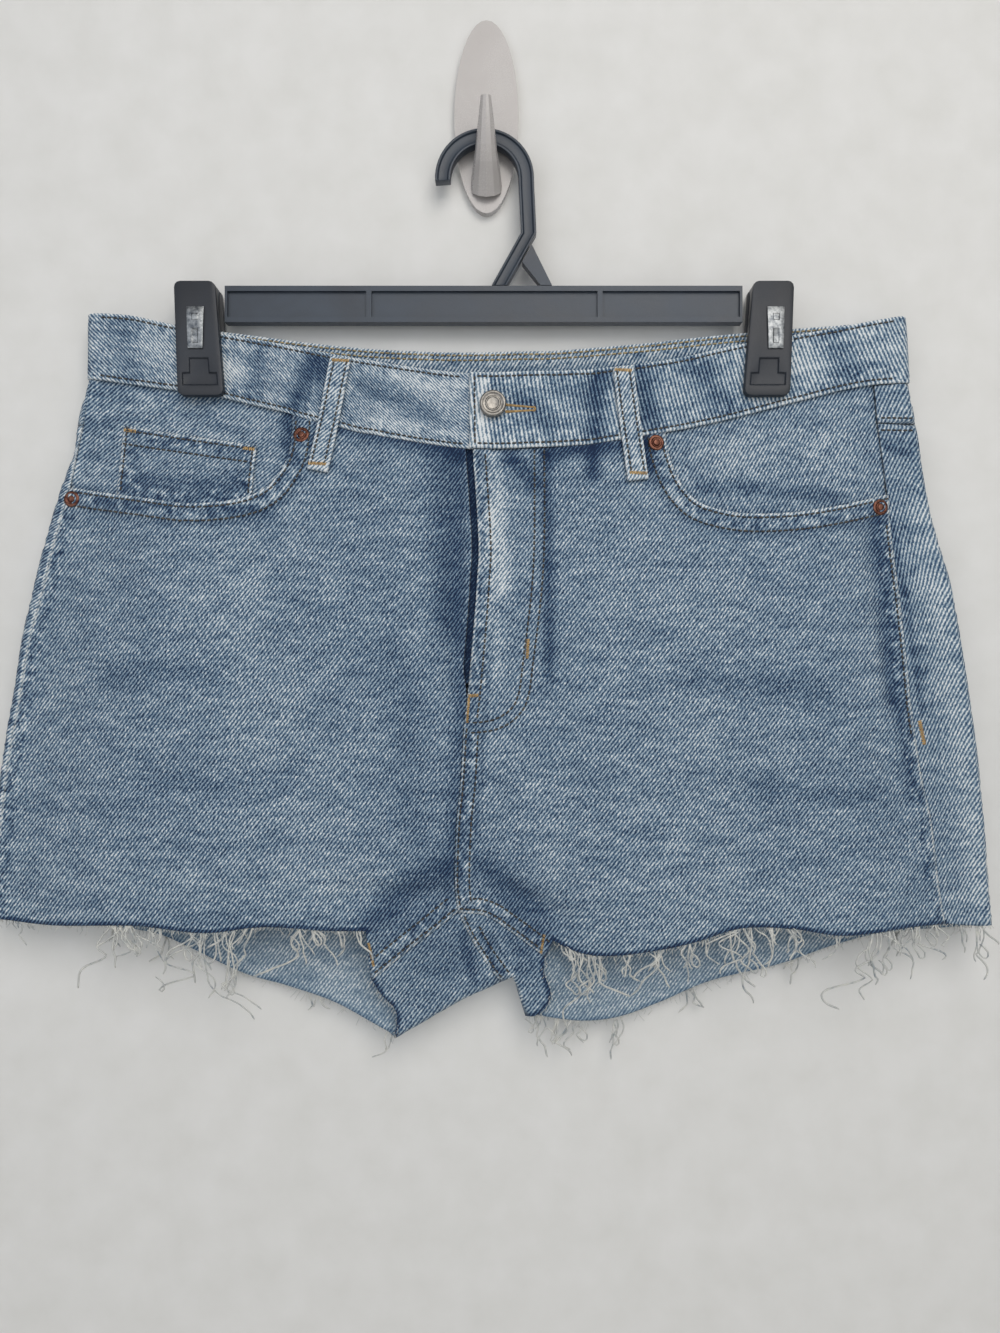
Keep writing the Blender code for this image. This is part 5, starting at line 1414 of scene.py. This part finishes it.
# ---- hard pieces
def plastic(name, low, high, rough, grain=900.0):
    material, tree, shader = newMaterial(name)
    coords = node(tree, "TexCoord", give="Object")
    flow = node(tree, "TexNoise", {"Vector": coords, "Scale": 28.0, "Detail": 3.0, "Distortion": 0.5})
    fine = node(tree, "TexNoise", {"Vector": coords, "Scale": grain, "Detail": 2.0})
    shade = node(tree, "ValToRGB", {"Fac": flow}, stops=((0.3, low), (0.7, high)))
    worn = node(tree, "Math", {0: flow, 1: 0.18, 2: rough - 0.09}, operation="MULTIPLY_ADD")
    worn = node(tree, "Math", {0: fine, 1: 0.10, 2: worn}, operation="MULTIPLY_ADD")
    bump = node(tree, "Bump", {"Height": fine, "Strength": 0.25, "Distance": 0.00015})
    tree.links.new(shade, shader.inputs["Base Color"])
    tree.links.new(worn, shader.inputs["Roughness"])
    tree.links.new(bump, shader.inputs["Normal"])
    shader.inputs["IOR"].default_value = 1.49
    shader.inputs["Specular IOR Level"].default_value = 0.5
    return material


def metal(name, low, high, rough, scratch=1.0):
    material, tree, shader = newMaterial(name)
    coords = node(tree, "TexCoord", give="Object")
    stain = node(tree, "TexNoise", {"Vector": coords, "Scale": 420.0, "Detail": 4.0, "Roughness": 0.6})
    brushed = node(tree, "Mapping", {"Vector": coords, "Scale": (300.0, 300.0, 4200.0)})
    lines = node(tree, "TexNoise", {"Vector": brushed, "Scale": 1.0, "Detail": 2.0})
    shade = node(tree, "ValToRGB", {"Fac": stain}, stops=((0.35, low), (0.65, high)))
    worn = node(tree, "Math", {0: stain, 1: 0.3, 2: rough - 0.15}, operation="MULTIPLY_ADD")
    bump = node(tree, "Bump", {"Height": lines, "Strength": 0.2 * scratch, "Distance": 0.0001})
    tree.links.new(shade, shader.inputs["Base Color"])
    tree.links.new(worn, shader.inputs["Roughness"])
    tree.links.new(bump, shader.inputs["Normal"])
    shader.inputs["Metallic"].default_value = 1.0
    return material


# Polystyrene from the injection mould, charcoal, polished faces scuffed a little by the shop rail
hangerPlastic = plastic("charcoalPolystyrene", "#252D37", "#323C48", 0.40)
# the jaws get a darker copy of the same polystyrene: painted shade, against the bar's paler look from its
# reflections
shadedJawPlastic = plastic("charcoalPolystyreneJawShaded", "#181C23", "#212730", 0.46)
# ABS, moulded glossy and off white
hookPlastic = plastic("offWhiteAbs", "#A5A19F", "#AFACAA", 0.22, 1400.0)
nickel = metal("nickelPlatedSpringSteel", "#54585C", "#96999A", 0.38)
pewter = metal("pewterPlatedBrass", "#6E6B67", "#A19D96", 0.42, 0.5)
copper = metal("agedCopperPlate", "#4A2C25", "#855D4E", 0.44, 0.5)
darkMetal = metal("oxidisedPunch", "#25201E", "#463A35", 0.5, 0.5)


def deselectAll():
    for obj in bpy.context.view_layer.objects:
        obj.select_set(False)


def primitive(kind, name, **settings):  # a primitive at its size and place, alone and active
    deselectAll()
    getattr(bpy.ops.mesh, "primitive_" + kind + "_add")(**settings)
    obj = bpy.context.active_object
    obj.name = name
    obj.data.name = name
    return obj


def selectFaces(obj, test):  # test(centre, normal) in millimetres, called from edit mode
    mesh = bmesh.from_edit_mesh(obj.data)
    for face in mesh.faces:
        face.select_set(bool(test(face.calc_center_median() / mm, face.normal)))
    mesh.select_flush_mode()
    bmesh.update_edit_mesh(obj.data)


def freeze(obj):  # its place, turn and size go into the mesh
    with alone(obj):
        bpy.ops.object.transform_apply(location=True, rotation=True, scale=True)


def settle(obj, materials, angle=35.0):
    freeze(obj)
    with alone(obj):
        bpy.ops.object.shade_smooth_by_angle(angle=math.radians(angle))
    obj.data.materials.clear()
    for item in materials:
        obj.data.materials.append(item)
    return obj


def box(name, centre, size):  # a box that is ready for cutting, in edit mode
    obj = primitive("cube", name, size=1.0, location=[value * mm for value in centre],
                    scale=[value * mm for value in size])
    freeze(obj)
    bpy.ops.object.mode_set(mode="EDIT")
    bpy.ops.mesh.select_mode(type="FACE")
    return obj


def cutAcross(axis, places):  # new edges all round the mesh in edit mode, at these places on an axis
    normal = [float(number == "xyz".index(axis)) for number in range(3)]
    for place in places:
        bpy.ops.mesh.select_all(action="SELECT")
        bpy.ops.mesh.bisect(plane_co=[value * place * mm for value in normal], plane_no=normal)


def rounded(obj, width, angle):
    bevel = obj.modifiers.new("Edges", "BEVEL")
    bevel.width = width * mm
    bevel.segments = 2
    bevel.limit_method = "ANGLE"
    bevel.angle_limit = math.radians(angle)
    bevel.use_clamp_overlap = True
    applyModifiers(obj)


def frontNormal(x, z):
    around = np.array(((x - 2, z), (x + 2, z), (x, z - 2), (x, z + 2)), float)
    y = depthAt(around, "front")
    return Vector((4.0, y[1] - y[0], 0.0)).cross(Vector((0.0, y[3] - y[2], 4.0))).normalized()


# a tack button and rivets: a stamped cap, ringed by inset after inset
buttonShape = {"x": 4.0, "z": -177.9, "radius": 7.4, "thick": 3.3, "lift": 5.3,
               "rings": ((0.5, 0.45), (0.7, 0.15), (0.55, -0.35), (1.15, -0.25), (0.4, 0.4), (0.5, 0.1),
                         (0.35, -0.5))}
rivetShape = {"radius": 4.6, "thick": 1.1, "lift": 1.35,
              "rings": ((0.5, 0.3), (0.9, 0.1), (0.55, -0.55), (0.5, 0.0), (0.35, 0.75), (0.5, 0.15))}
rivetTable = (
    ("right_inner", -105.3, -192.6), ("right_outer", -237.3, -228.6),
    ("left_inner", 96.5, -197.5), ("left_outer", 224.7, -233.6),
)


def stampedCap(name, shape, x, z, materials, vertices):  # its middle has the second material
    obj = primitive("cylinder", name, vertices=vertices, radius=shape["radius"] * mm,
                    depth=shape["thick"] * mm)
    bpy.ops.object.mode_set(mode="EDIT")
    bpy.ops.mesh.select_mode(type="FACE")
    selectFaces(obj, lambda centre, normal: normal.z > 0.9)
    for thickness, height in shape["rings"]:
        bpy.ops.mesh.inset(thickness=thickness * mm, depth=height * mm)
    bpy.ops.object.mode_set(mode="OBJECT")
    for item in materials:
        obj.data.materials.append(item)
    for polygon in obj.data.polygons:
        reach = math.hypot(polygon.center.x, polygon.center.y) / mm
        if reach < shape["radius"] * 0.34 and polygon.normal.z > 0.5:
            polygon.material_index = 1
    rounded(obj, 0.16, 24.0)
    normal = frontNormal(x, z)
    y = float(depthAt(np.array(((x, z),)), "front")[0])
    obj.rotation_mode = "QUATERNION"
    obj.rotation_quaternion = Vector((0, 0, 1)).rotation_difference(normal)
    obj.location = Vector((x, y, z)) * mm + normal * (shape["lift"] + shape["thick"] / 2 - 0.5) * mm
    return settle(obj, materials)


button = stampedCap("button_cap", buttonShape, buttonShape["x"], buttonShape["z"], [pewter, darkMetal], 40)
pieceFor(button, "button_pewter", "button")
for name, x, z in rivetTable:
    rivet = stampedCap("rivet_cap_" + name, rivetShape, x, z, [copper, darkMetal], 28)
    pieceFor(rivet, "rivet_copper", "rivet_" + name)
print("stage: button and rivets made")

# the clips: a front jaw with a moulded T in its foot, a leaf spring over its top and a ribbed back jaw
clipShape = {"topZ": -103.4, "footZ": -169.1, "topWidth": 23.5, "footWidth": 26.4, "front": (-22.7, -17.4),
             "back": (-8.6, -4.8), "lean": {"right": 3.7, "left": -3.8}, "corner": 3.6,
             "tee": {"topZ": -147.5, "barZ": -156.0, "footZ": -163.2, "halfBar": 9.2, "halfStem": 5.2,
                     "sunk": 1.3},
             "grip": {"topZ": -125.0, "footZ": -145.0, "pitch": 4.0, "sunk": 0.7},
             "spring": {"width": 10.0, "topZ": -118.5, "footZ": -142.5, "thick": 0.8}}


def jaw(name, side, near, far, isFront):
    tall = clipShape["topZ"] - clipShape["footZ"]
    middleZ = (clipShape["topZ"] + clipShape["footZ"]) / 2
    obj = box(name, (0.0, (near + far) / 2, middleZ), (clipShape["topWidth"], far - near, tall))
    bpy.ops.mesh.select_mode(type="EDGE")
    mesh = bmesh.from_edit_mesh(obj.data)
    for edge in mesh.edges:
        ends = edge.verts[0].co - edge.verts[1].co
        edge.select_set(abs(ends.y) > 0.5 * (far - near) * mm)
    bmesh.update_edit_mesh(obj.data)
    bpy.ops.mesh.bevel(offset=clipShape["corner"] * mm, segments=3, profile=0.5)
    bpy.ops.mesh.select_mode(type="FACE")
    tee, grip = clipShape["tee"], clipShape["grip"]

    def isTee(centre, normal):
        inBar = abs(centre.x) < tee["halfBar"] and tee["footZ"] < centre.z < tee["barZ"]
        inStem = abs(centre.x) < tee["halfStem"] and tee["barZ"] < centre.z < tee["topZ"]
        return normal.y < -0.9 and (inBar or inStem)

    def isGroove(centre, normal):
        inGrip = grip["footZ"] < centre.z < grip["topZ"]
        return normal.y > 0.9 and inGrip and int(centre.z // grip["pitch"]) % 2 == 0

    if isFront:
        cutAcross("z", (tee["topZ"], tee["barZ"], tee["footZ"]))
        cutAcross("x", (-tee["halfBar"], tee["halfBar"], -tee["halfStem"], tee["halfStem"]))
        selectFaces(obj, isTee)
        bpy.ops.mesh.inset(thickness=0.35 * mm, depth=-tee["sunk"] * mm)
    else:
        cutAcross("z", np.arange(grip["topZ"], grip["footZ"] - 1, -grip["pitch"]))
        selectFaces(obj, isGroove)
        bpy.ops.mesh.inset(thickness=0.4 * mm, depth=-grip["sunk"] * mm)
    bpy.ops.object.mode_set(mode="OBJECT")
    # the jaw widens towards its foot and leans with the clip
    grow = clipShape["footWidth"] / clipShape["topWidth"]
    for vert in obj.data.vertices:
        share = (clipShape["topZ"] * mm - vert.co.z) / (tall * mm)
        middleX = clips[side] + clipShape["lean"][side] * (share - 0.5)
        vert.co.x = vert.co.x * (1 + (grow - 1) * share) + middleX * mm
    rounded(obj, 0.55, 50.0)
    return settle(obj, [shadedJawPlastic], 40.0)


def leafSpring(side):
    spring = clipShape["spring"]
    x = clips[side] - clipShape["lean"][side] / 2 + 0.9
    y = clipShape["front"][0] - 0.25 - spring["thick"] / 2
    tall = spring["topZ"] - spring["footZ"]
    obj = box("spring_leaf_" + side, (x, y, (spring["topZ"] + spring["footZ"]) / 2),
              (spring["width"], spring["thick"], tall))
    cutAcross("z", (-122.5, -126.5, -131.0, -136.0, -139.5))
    cutAcross("x", (x - 2.0, x + 2.0))
    # a sunk slot below and a raised nib above
    for low, high, thickness, depth in ((-139.5, -131.0, 0.4, -0.35), (-126.5, -122.5, 0.3, 0.3)):
        selectFaces(obj, lambda centre, normal: normal.y < -0.9 and abs(centre.x - x) < 2.0
                    and low < centre.z < high)
        bpy.ops.mesh.inset(thickness=thickness * mm, depth=depth * mm)
    bpy.ops.object.mode_set(mode="OBJECT")
    for vert in obj.data.vertices:  # the leaf bows out a little and its foot curls in
        share = (spring["topZ"] - vert.co.z / mm) / tall
        vert.co.y -= (0.5 * math.sin(math.pi * share)) * mm
        vert.co.x = x * mm + (vert.co.x - x * mm) * (1.0 - 0.14 * share)
    rounded(obj, 0.2, 40.0)
    return settle(obj, [nickel], 40.0)


for side in ("right", "left"):
    for face in ("front", "back"):
        made = jaw("clip_jaw_" + face + "_" + side, side, *clipShape[face], face == "front")
        pieceFor(made, "hanger_plastic", f"clip_{side}_{face}")
    pieceFor(leafSpring(side), "spring_nickel", f"clip_{side}_spring")
print("stage: clips made")

# the hanger's hook: one moulded strip with a raised edge along both its faces
hookShape = {"x": -1.0, "z": -41.0, "radius": 24.2, "width": 9.0, "near": -16.0, "far": -9.0, "rim": 1.5,
             "sunk": 1.3, "sweep": 184.0, "shank": ((24.6, -73.0), (7.6, -103.5))}


def hangerHook():
    width, rim = hookShape["width"], hookShape["rim"]
    middleY = (hookShape["near"] + hookShape["far"]) / 2
    startX = hookShape["x"] + hookShape["radius"]
    obj = box("hanger_hook_strip", (startX, middleY, hookShape["z"] - 0.5),
              (width, hookShape["far"] - hookShape["near"], 1.0))
    cutAcross("x", (startX - width / 2 + rim, startX + width / 2 - rim))
    selectFaces(obj, lambda centre, normal: normal.z > 0.9)
    bpy.ops.mesh.spin(steps=30, angle=math.radians(hookShape["sweep"]), axis=(0, 1, 0),
                      center=(hookShape["x"] * mm, middleY * mm, hookShape["z"] * mm))
    last = Vector((startX, 0, hookShape["z"] - 1.0))
    for x, z in hookShape["shank"]:
        selectFaces(obj, lambda centre, normal: normal.z < -0.5 and (centre - last).xz.length < 5.5)
        move = ((x - last.x) * mm, 0, (z - last.z) * mm)
        bpy.ops.mesh.extrude_region_move(TRANSFORM_OT_translate={"value": move})
        last = Vector((x, 0, z))
    # the web between the rims, sunk from both faces
    turns = [math.radians(turn) for turn in range(178, -1, -6)]
    route = [(hookShape["x"] + hookShape["radius"] * math.cos(turn),
              hookShape["z"] + hookShape["radius"] * math.sin(turn)) for turn in turns]
    route += list(hookShape["shank"])
    for side in (-1, 1):
        selectFaces(obj, lambda centre, normal: normal.y * side > 0.9 and centre.z > -97
                    and nearest(((centre.x, centre.z),), route)[0][0] < 2.0)
        bpy.ops.mesh.inset(thickness=0.3 * mm, depth=-hookShape["sunk"] * mm)
    bpy.ops.mesh.select_all(action="SELECT")
    bpy.ops.mesh.remove_doubles(threshold=0.00001)
    bpy.ops.mesh.normals_make_consistent(inside=False)
    bpy.ops.object.mode_set(mode="OBJECT")
    rounded(obj, 0.45, 50.0)
    return settle(obj, [hangerPlastic], 40.0)


pieceFor(hangerHook(), "hanger_plastic", "hanger_hook")
print("stage: hanger hook made")

# nodes whose shape is right keep it and get their finish
finishes = {"hanger_bar": hangerPlastic, "hanger_strut": hangerPlastic, "clip_right_bridge": hangerPlastic,
            "clip_left_bridge": hangerPlastic, "wall_hook": hookPlastic}
for name, finish in finishes.items():
    obj = frame["nodes"][name]
    if not obj.material_slots:
        obj.data.materials.append(finish)
    for slot in obj.material_slots:
        slot.material = finish


# ---- loose threads under the raw hems: weft yarns, unravelled, knotted and hanging
fringeBunches = (
    # hem, x, strands, longest, spread
    ("frontRight", -264, 3, 10, 3), ("frontRight", -206, 5, 30, 3), ("frontRight", -196, 6, 17, 5),
    ("frontRight", -184, 5, 15, 4), ("frontRight", -164, 4, 28, 4), ("frontRight", -154, 6, 40, 5),
    ("frontRight", -144, 5, 36, 4), ("frontRight", -131, 3, 26, 3), ("frontRight", -102, 4, 26, 3),
    ("frontRight", -92, 5, 16, 5), ("frontRight", -80, 3, 12, 4), ("frontRight", -72, 3, 14, 3),
    ("frontLeft", 46, 5, 18, 4), ("frontLeft", 56, 6, 30, 4), ("frontLeft", 63, 4, 22, 3),
    ("frontLeft", 78, 3, 14, 4), ("frontLeft", 96, 6, 20, 4), ("frontLeft", 114, 4, 16, 3),
    ("frontLeft", 122, 3, 12, 3), ("frontLeft", 138, 5, 24, 4), ("frontLeft", 146, 6, 30, 4),
    ("frontLeft", 160, 4, 16, 4), ("frontLeft", 172, 5, 18, 4), ("frontLeft", 196, 3, 12, 3),
    ("frontLeft", 218, 6, 42, 3), ("frontLeft", 226, 4, 22, 3), ("frontLeft", 240, 6, 20, 4),
    ("frontLeft", 253, 4, 16, 3), ("sideLeft", 270, 3, 12, 3), ("sideLeft", 280, 5, 22, 3),
    ("backLeft", 28, 5, 18, 4), ("backLeft", 40, 5, 16, 5), ("backLeft", 52, 4, 16, 4),
    ("backLeft", 76, 4, 18, 3), ("backLeft", 120, 3, 14, 4), ("backLeft", 180, 3, 12, 4),
    ("backRight", -56, 2, 14, 2), ("backRight", -100, 3, 9, 4), ("backRight", -150, 3, 10, 4),
    ("backRight", -220, 3, 10, 4), ("backLeft", 240, 3, 12, 4), ("backRight", -190, 2, 14, 3),
)
fringeHems = {
    # hem: layer, line, from x, to x
    "frontRight": ("front", curveThrough(rightFrontHem), -278.0, -68.0),
    "frontLeft": ("front", curveThrough(leftFrontHem), 38.5, 259.0),
    "sideLeft": ("front", [np.array((259.5, -470.0)), np.array((288.5, -472.7))], 259.5, 288.0),
    "backRight": ("back", curveThrough(rightBackHem), -281.0, -53.0),
    "backLeft": ("back", curveThrough(leftBackHem), 24.0, 287.0),
}
fray = {"radius": 0.52, "fuzzRadius": 0.22, "fuzzSpace": 1.0, "length": 1.68, "pull": 0.75, "seed": 11}


def tube(verts, faces, path, radius, sides):
    path = [Vector(point) for point in path]
    rings = []
    for number, point in enumerate(path):
        along = (path[min(number + 1, len(path) - 1)] - path[max(number - 1, 0)]).normalized()
        sideways = along.cross(Vector((0.0, 1.0, 0.13))).normalized()
        upward = sideways.cross(along)
        thin = radius * (0.55 if number in (0, len(path) - 1) else 1.0)
        ring = []
        for corner in range(sides):
            angle = 2 * math.pi * corner / sides
            ring.append(len(verts))
            verts.append(point + (sideways * math.cos(angle) + upward * math.sin(angle)) * thin)
        rings.append(ring)
    for low, high in zip(rings, rings[1:]):
        for i in range(sides):
            j = (i + 1) % sides
            faces.append((low[i], low[j], high[j], high[i]))
    faces.append(tuple(rings[0][::-1]))
    faces.append(tuple(rings[-1]))


def hemPoint(hem, x):  # where a thread comes out of the cloth
    layer, line, low, high = fringeHems[hem]
    x = min(max(x, low), high)
    z = float(heightOn(line, x))
    return Vector((x, float(depthAt(np.array(((x, z + 0.6),)), layer)[0]), z + 0.5))


def strand(dice, start, length, curl):
    path = [start]
    heading = dice.uniform(-0.4, 0.4)
    turn = dice.uniform(-0.3, 0.3)
    place = start.copy()
    step = 1.7
    count = max(3, int(length / step))
    for number in range(count):
        turn += dice.uniform(-curl, curl)
        turn *= 0.82
        heading = min(max(heading * 0.82 + turn, -1.15), 1.15)
        sway = dice.uniform(-0.16, 0.10)
        place = place + Vector((math.sin(heading), sway, -abs(math.cos(heading)) * 0.9)) * step
        path.append(place)
    return path


def buildFringe():
    dice = random.Random(fray["seed"])
    pieces = {hem: ([], []) for hem in fringeHems}
    for hem, x, strands, longest, spread in fringeBunches:
        verts, faces = pieces[hem]
        longest *= fray["length"]
        knot = hemPoint(hem, x) + Vector((dice.uniform(-1, 1), -0.3, -dice.uniform(0.25, 0.5) * longest))
        for number in range(strands):
            length = longest * (1.0 if number == 0 else dice.uniform(0.25, 0.8))
            start = hemPoint(hem, x + dice.uniform(-spread, spread))
            path = strand(dice, start, length, 0.24)
            if number % 3 != 2 and longest > 14:  # drawn together where the bunch has knotted
                for place in range(1, len(path)):
                    near = math.exp(-((path[place].z - knot.z) / 4.5) ** 2)
                    path[place] = path[place] + Vector(((knot.x - path[place].x) * near * fray["pull"], 0, 0))
                for place in range(len(path)):
                    if path[place].z < knot.z:
                        path[place] = path[place] + Vector(((knot.x - start.x) * 0.6, 0, 0))
            if number % 4 == 3:  # a loop that comes back up
                low = path[-1]
                for share in (0.25, 0.55, 0.9, 1.3, 1.7):
                    rise = 4.4 * (1 - math.cos(share * 1.6)) - 1.0
                    path.append(low + Vector((3.2 * math.sin(share * 2.2), -0.4, rise)))
            tube(verts, faces, path, fray["radius"] * dice.uniform(0.8, 1.15), 4)
    for hem, (layer, line, low, high) in fringeHems.items():
        verts, faces = pieces[hem]
        x = low + 0.5
        while x < high:
            start = hemPoint(hem, x)
            length = dice.uniform(1.2, 3.2) if dice.random() < 0.86 else dice.uniform(4.0, 8.0)
            lean = dice.uniform(-0.9, 0.9)
            middle = start + Vector((lean * length * 0.5, dice.uniform(-0.9, 0.5), -length * 0.45))
            veer = dice.uniform(-0.9, 0.9)
            end = middle + Vector((veer * length * 0.5, dice.uniform(-0.4, 0.4), -length * 0.4))
            tube(verts, faces, (start, middle, end), fray["fuzzRadius"], 3)
            x += fray["fuzzSpace"] * dice.uniform(0.5, 1.5)
    verts, faces = pieces["frontLeft"]  # the piece at the side belongs to the same hem
    faces.extend([tuple(i + len(verts) for i in face) for face in pieces["sideLeft"][1]])
    verts.extend(pieces["sideLeft"][0])
    for hem, cadNode in (("frontRight", "fringe_front_right"), ("frontLeft", "fringe_front_left"),
                         ("backRight", "fringe_back_right"), ("backLeft", "fringe_back_left")):
        verts, faces = pieces[hem]
        obj = newObject("fringe_threads_" + hem, [vert * mm for vert in verts], faces, [weftYarn])
        pieceFor(obj, "loose_threads", cadNode)
    # the raw ends round the crotch, which are frayed only a little
    verts, faces = [], []
    for line in (rightRawEdge, leftRawEdge):
        for point in evenly(curveThrough(line, 3.0), 1.3):
            y = float(depthAt(np.array((point,)), "front")[0])
            start = Vector((point[0], y, point[1]))
            lean = Vector((dice.uniform(-1, 1), dice.uniform(-0.6, 0.3), -dice.uniform(0.4, 1.4)))
            tube(verts, faces, (start, start + lean * 1.2, start + lean * 2.1), fray["fuzzRadius"], 3)
    obj = newObject("fringe_threads_crotch", [vert * mm for vert in verts], faces, [weftYarn])
    pieceFor(obj, "loose_threads")


# Weft yarn: undyed cotton, dulled by the blue that ran in the wash, hairy and quite matt
def yarnMaterial():
    material, tree, shader = newMaterial("frayedWeftYarn")
    coords = node(tree, "TexCoord", give="Object")
    blotch = node(tree, "TexNoise", {"Vector": coords, "Scale": 190.0, "Detail": 3.0})
    twist = node(tree, "TexNoise", {"Vector": coords, "Scale": 2400.0, "Detail": 2.0})
    stops = ((0.3, "#8C9498"), (0.45, "#B2B4B1"), (0.7, "#C9C9C3"))
    shade = node(tree, "ValToRGB", {"Fac": blotch}, stops=stops)
    bump = node(tree, "Bump", {"Height": twist, "Strength": 0.6, "Distance": 0.0002})
    tree.links.new(shade, shader.inputs["Base Color"])
    tree.links.new(bump, shader.inputs["Normal"])
    shader.inputs["Roughness"].default_value = 0.9
    shader.inputs["Sheen Weight"].default_value = 0.2
    return material


weftYarn = yarnMaterial()
buildFringe()
print("stage: fringe made")


# ---- which piece stands for which solid, and the cloth each was cut from
# piece, CAD node, flat width, flat length, flat area or None
cuts = (
    (frontRight, "front_right", 0.272, 0.327, 0.0666),
    (frontLeft, "front_left", 0.277, 0.329, 0.0663),
    (backRight, "back_right", 0.338, 0.352, 0.0876),
    (backLeft, "back_left", 0.338, 0.346, 0.0937),
    (yokeRight, "yoke_right", 0.250, 0.048, 0.0086),
    (yokeLeft, "yoke_left", 0.266, 0.048, 0.0089),
    (waistband, "waistband", 1.000, 0.043, 0.0429),
    (facingRight, "facing_right", 0.134, 0.080, 0.0090),
    (facingLeft, "facing_left", 0.136, 0.084, 0.0089),
    (coinPocket, "coin_pocket", 0.079, 0.046, 0.0032),
    (backPockets["right"], "back_pocket_right", 0.146, 0.158, 0.0205),
    (backPockets["left"], "back_pocket_left", 0.146, 0.158, 0.0205),
    (flyParts["fly_shield_cloth"], "fly_shield", 0.042, 0.131, None),
    (flyParts["fly_zip_tape"], "fly_zip", 0.021, 0.131, None),
)
for piece, cadNode, width, length, area in cuts:
    pieceFor(piece, "inner_denim" if cadNode.startswith("fly_") else "denim", cadNode)
for name, loop in beltLoops.items():
    pieceFor(loop, "denim", "belt_loop_" + name)


# ---- floor, wall, light and camera
def pale(name, low, high, oneSided):  # emulsion paint, matt and even
    material, tree, shader = newMaterial(name)
    coords = node(tree, "TexCoord", give="Object")
    mottle = node(tree, "TexNoise", {"Vector": coords, "Scale": 40.0, "Detail": 4.0})
    shade = node(tree, "ValToRGB", {"Fac": mottle}, stops=((0.3, low), (0.7, high)))
    tree.links.new(shade, shader.inputs["Base Color"])
    shader.inputs["Roughness"].default_value = 0.9
    if oneSided:  # nothing from behind, so that the back of the garment can be seen
        behind = node(tree, "NewGeometry", give="Backfacing")
        through = node(tree, "BsdfTransparent")
        mixed = node(tree, "MixShader", {0: behind, 1: shader.outputs["BSDF"], 2: through})
        tree.links.new(mixed, tree.get_output_node("ALL").inputs["Surface"])
    return material


stage = {"wallY": 0.0006, "wallWidth": 5.0, "wallTop": 1.8, "floorZ": -0.75, "floorDepth": 4.0}
paint = pale("paintedPlaster", "#CFCFCC", "#D5D5D3", True)
boards = pale("paintedFloor", "#CFCFCC", "#D5D5D3", False)
right, y, foot, top = stage["wallWidth"] / 2, stage["wallY"], stage["floorZ"], stage["wallTop"]
reach = stage["floorDepth"]
backdrop = newObject("backdrop", ((-right, y, foot), (right, y, foot), (right, y, top), (-right, y, top)),
                     [(0, 1, 2, 3)], [paint], False)
floor = newObject("floor", ((-right, -reach, foot), (right, -reach, foot), (right, reach, foot),
                            (-right, reach, foot)), [(0, 1, 2, 3)], [boards], False)
# the wall lets light through to the back of the garment, as if it hung free in the studio
backdrop.visible_shadow = False
backdrop.visible_diffuse = False

lamps = (
    # name, place, size, power, colour
    ("overhead", (0.35, -1.5, 0.65), 1.2, 15.5, "#FFFAF4"),
    ("window", (-0.9, -1.6, 0.1), 1.6, 7.5, "#F2F6FF"),
    ("fill", (0.5, -1.7, -0.3), 1.8, 8.5, "#FFFFFF"),
    ("behindHigh", (-0.5, 1.5, 0.8), 1.4, 17.0, "#FFFAF4"),
    ("behindLow", (0.8, 1.6, -0.3), 1.6, 9.0, "#F6F8FF"),
)
for name, place, size, power, tint in lamps:
    data = bpy.data.lights.new(name, "AREA")
    data.shape = "DISK"
    data.size = size
    data.energy = power
    data.color = colour(tint)[:3]
    lamp = bpy.data.objects.new(name, data)
    lamp.location = place
    lamp.rotation_euler = (Vector((0.0, 0.0, -0.33)) - Vector(place)).to_track_quat("-Z", "Y").to_euler()
    bpy.context.scene.collection.objects.link(lamp)
world = bpy.data.worlds.new("studio")
bpy.context.scene.world = world
world.use_nodes = True
world.node_tree.nodes["Background"].inputs["Color"].default_value = colour("#E6E9EE")
world.node_tree.nodes["Background"].inputs["Strength"].default_value = 0.28

cameraData = bpy.data.cameras.new("camera")
cameraData.lens = 27.04
cameraData.sensor_width = 36.0
camera = bpy.data.objects.new("camera", cameraData)
camera.location = (0.008, -0.596, -0.3245)
camera.rotation_euler = (math.pi / 2, 0.0, 0.0)
bpy.context.scene.collection.objects.link(camera)
bpy.context.scene.camera = camera
print("stage: stage, lights and camera set")
bpy.context.scene.view_settings.view_transform = "Standard"

bpy.context.view_layer.update()
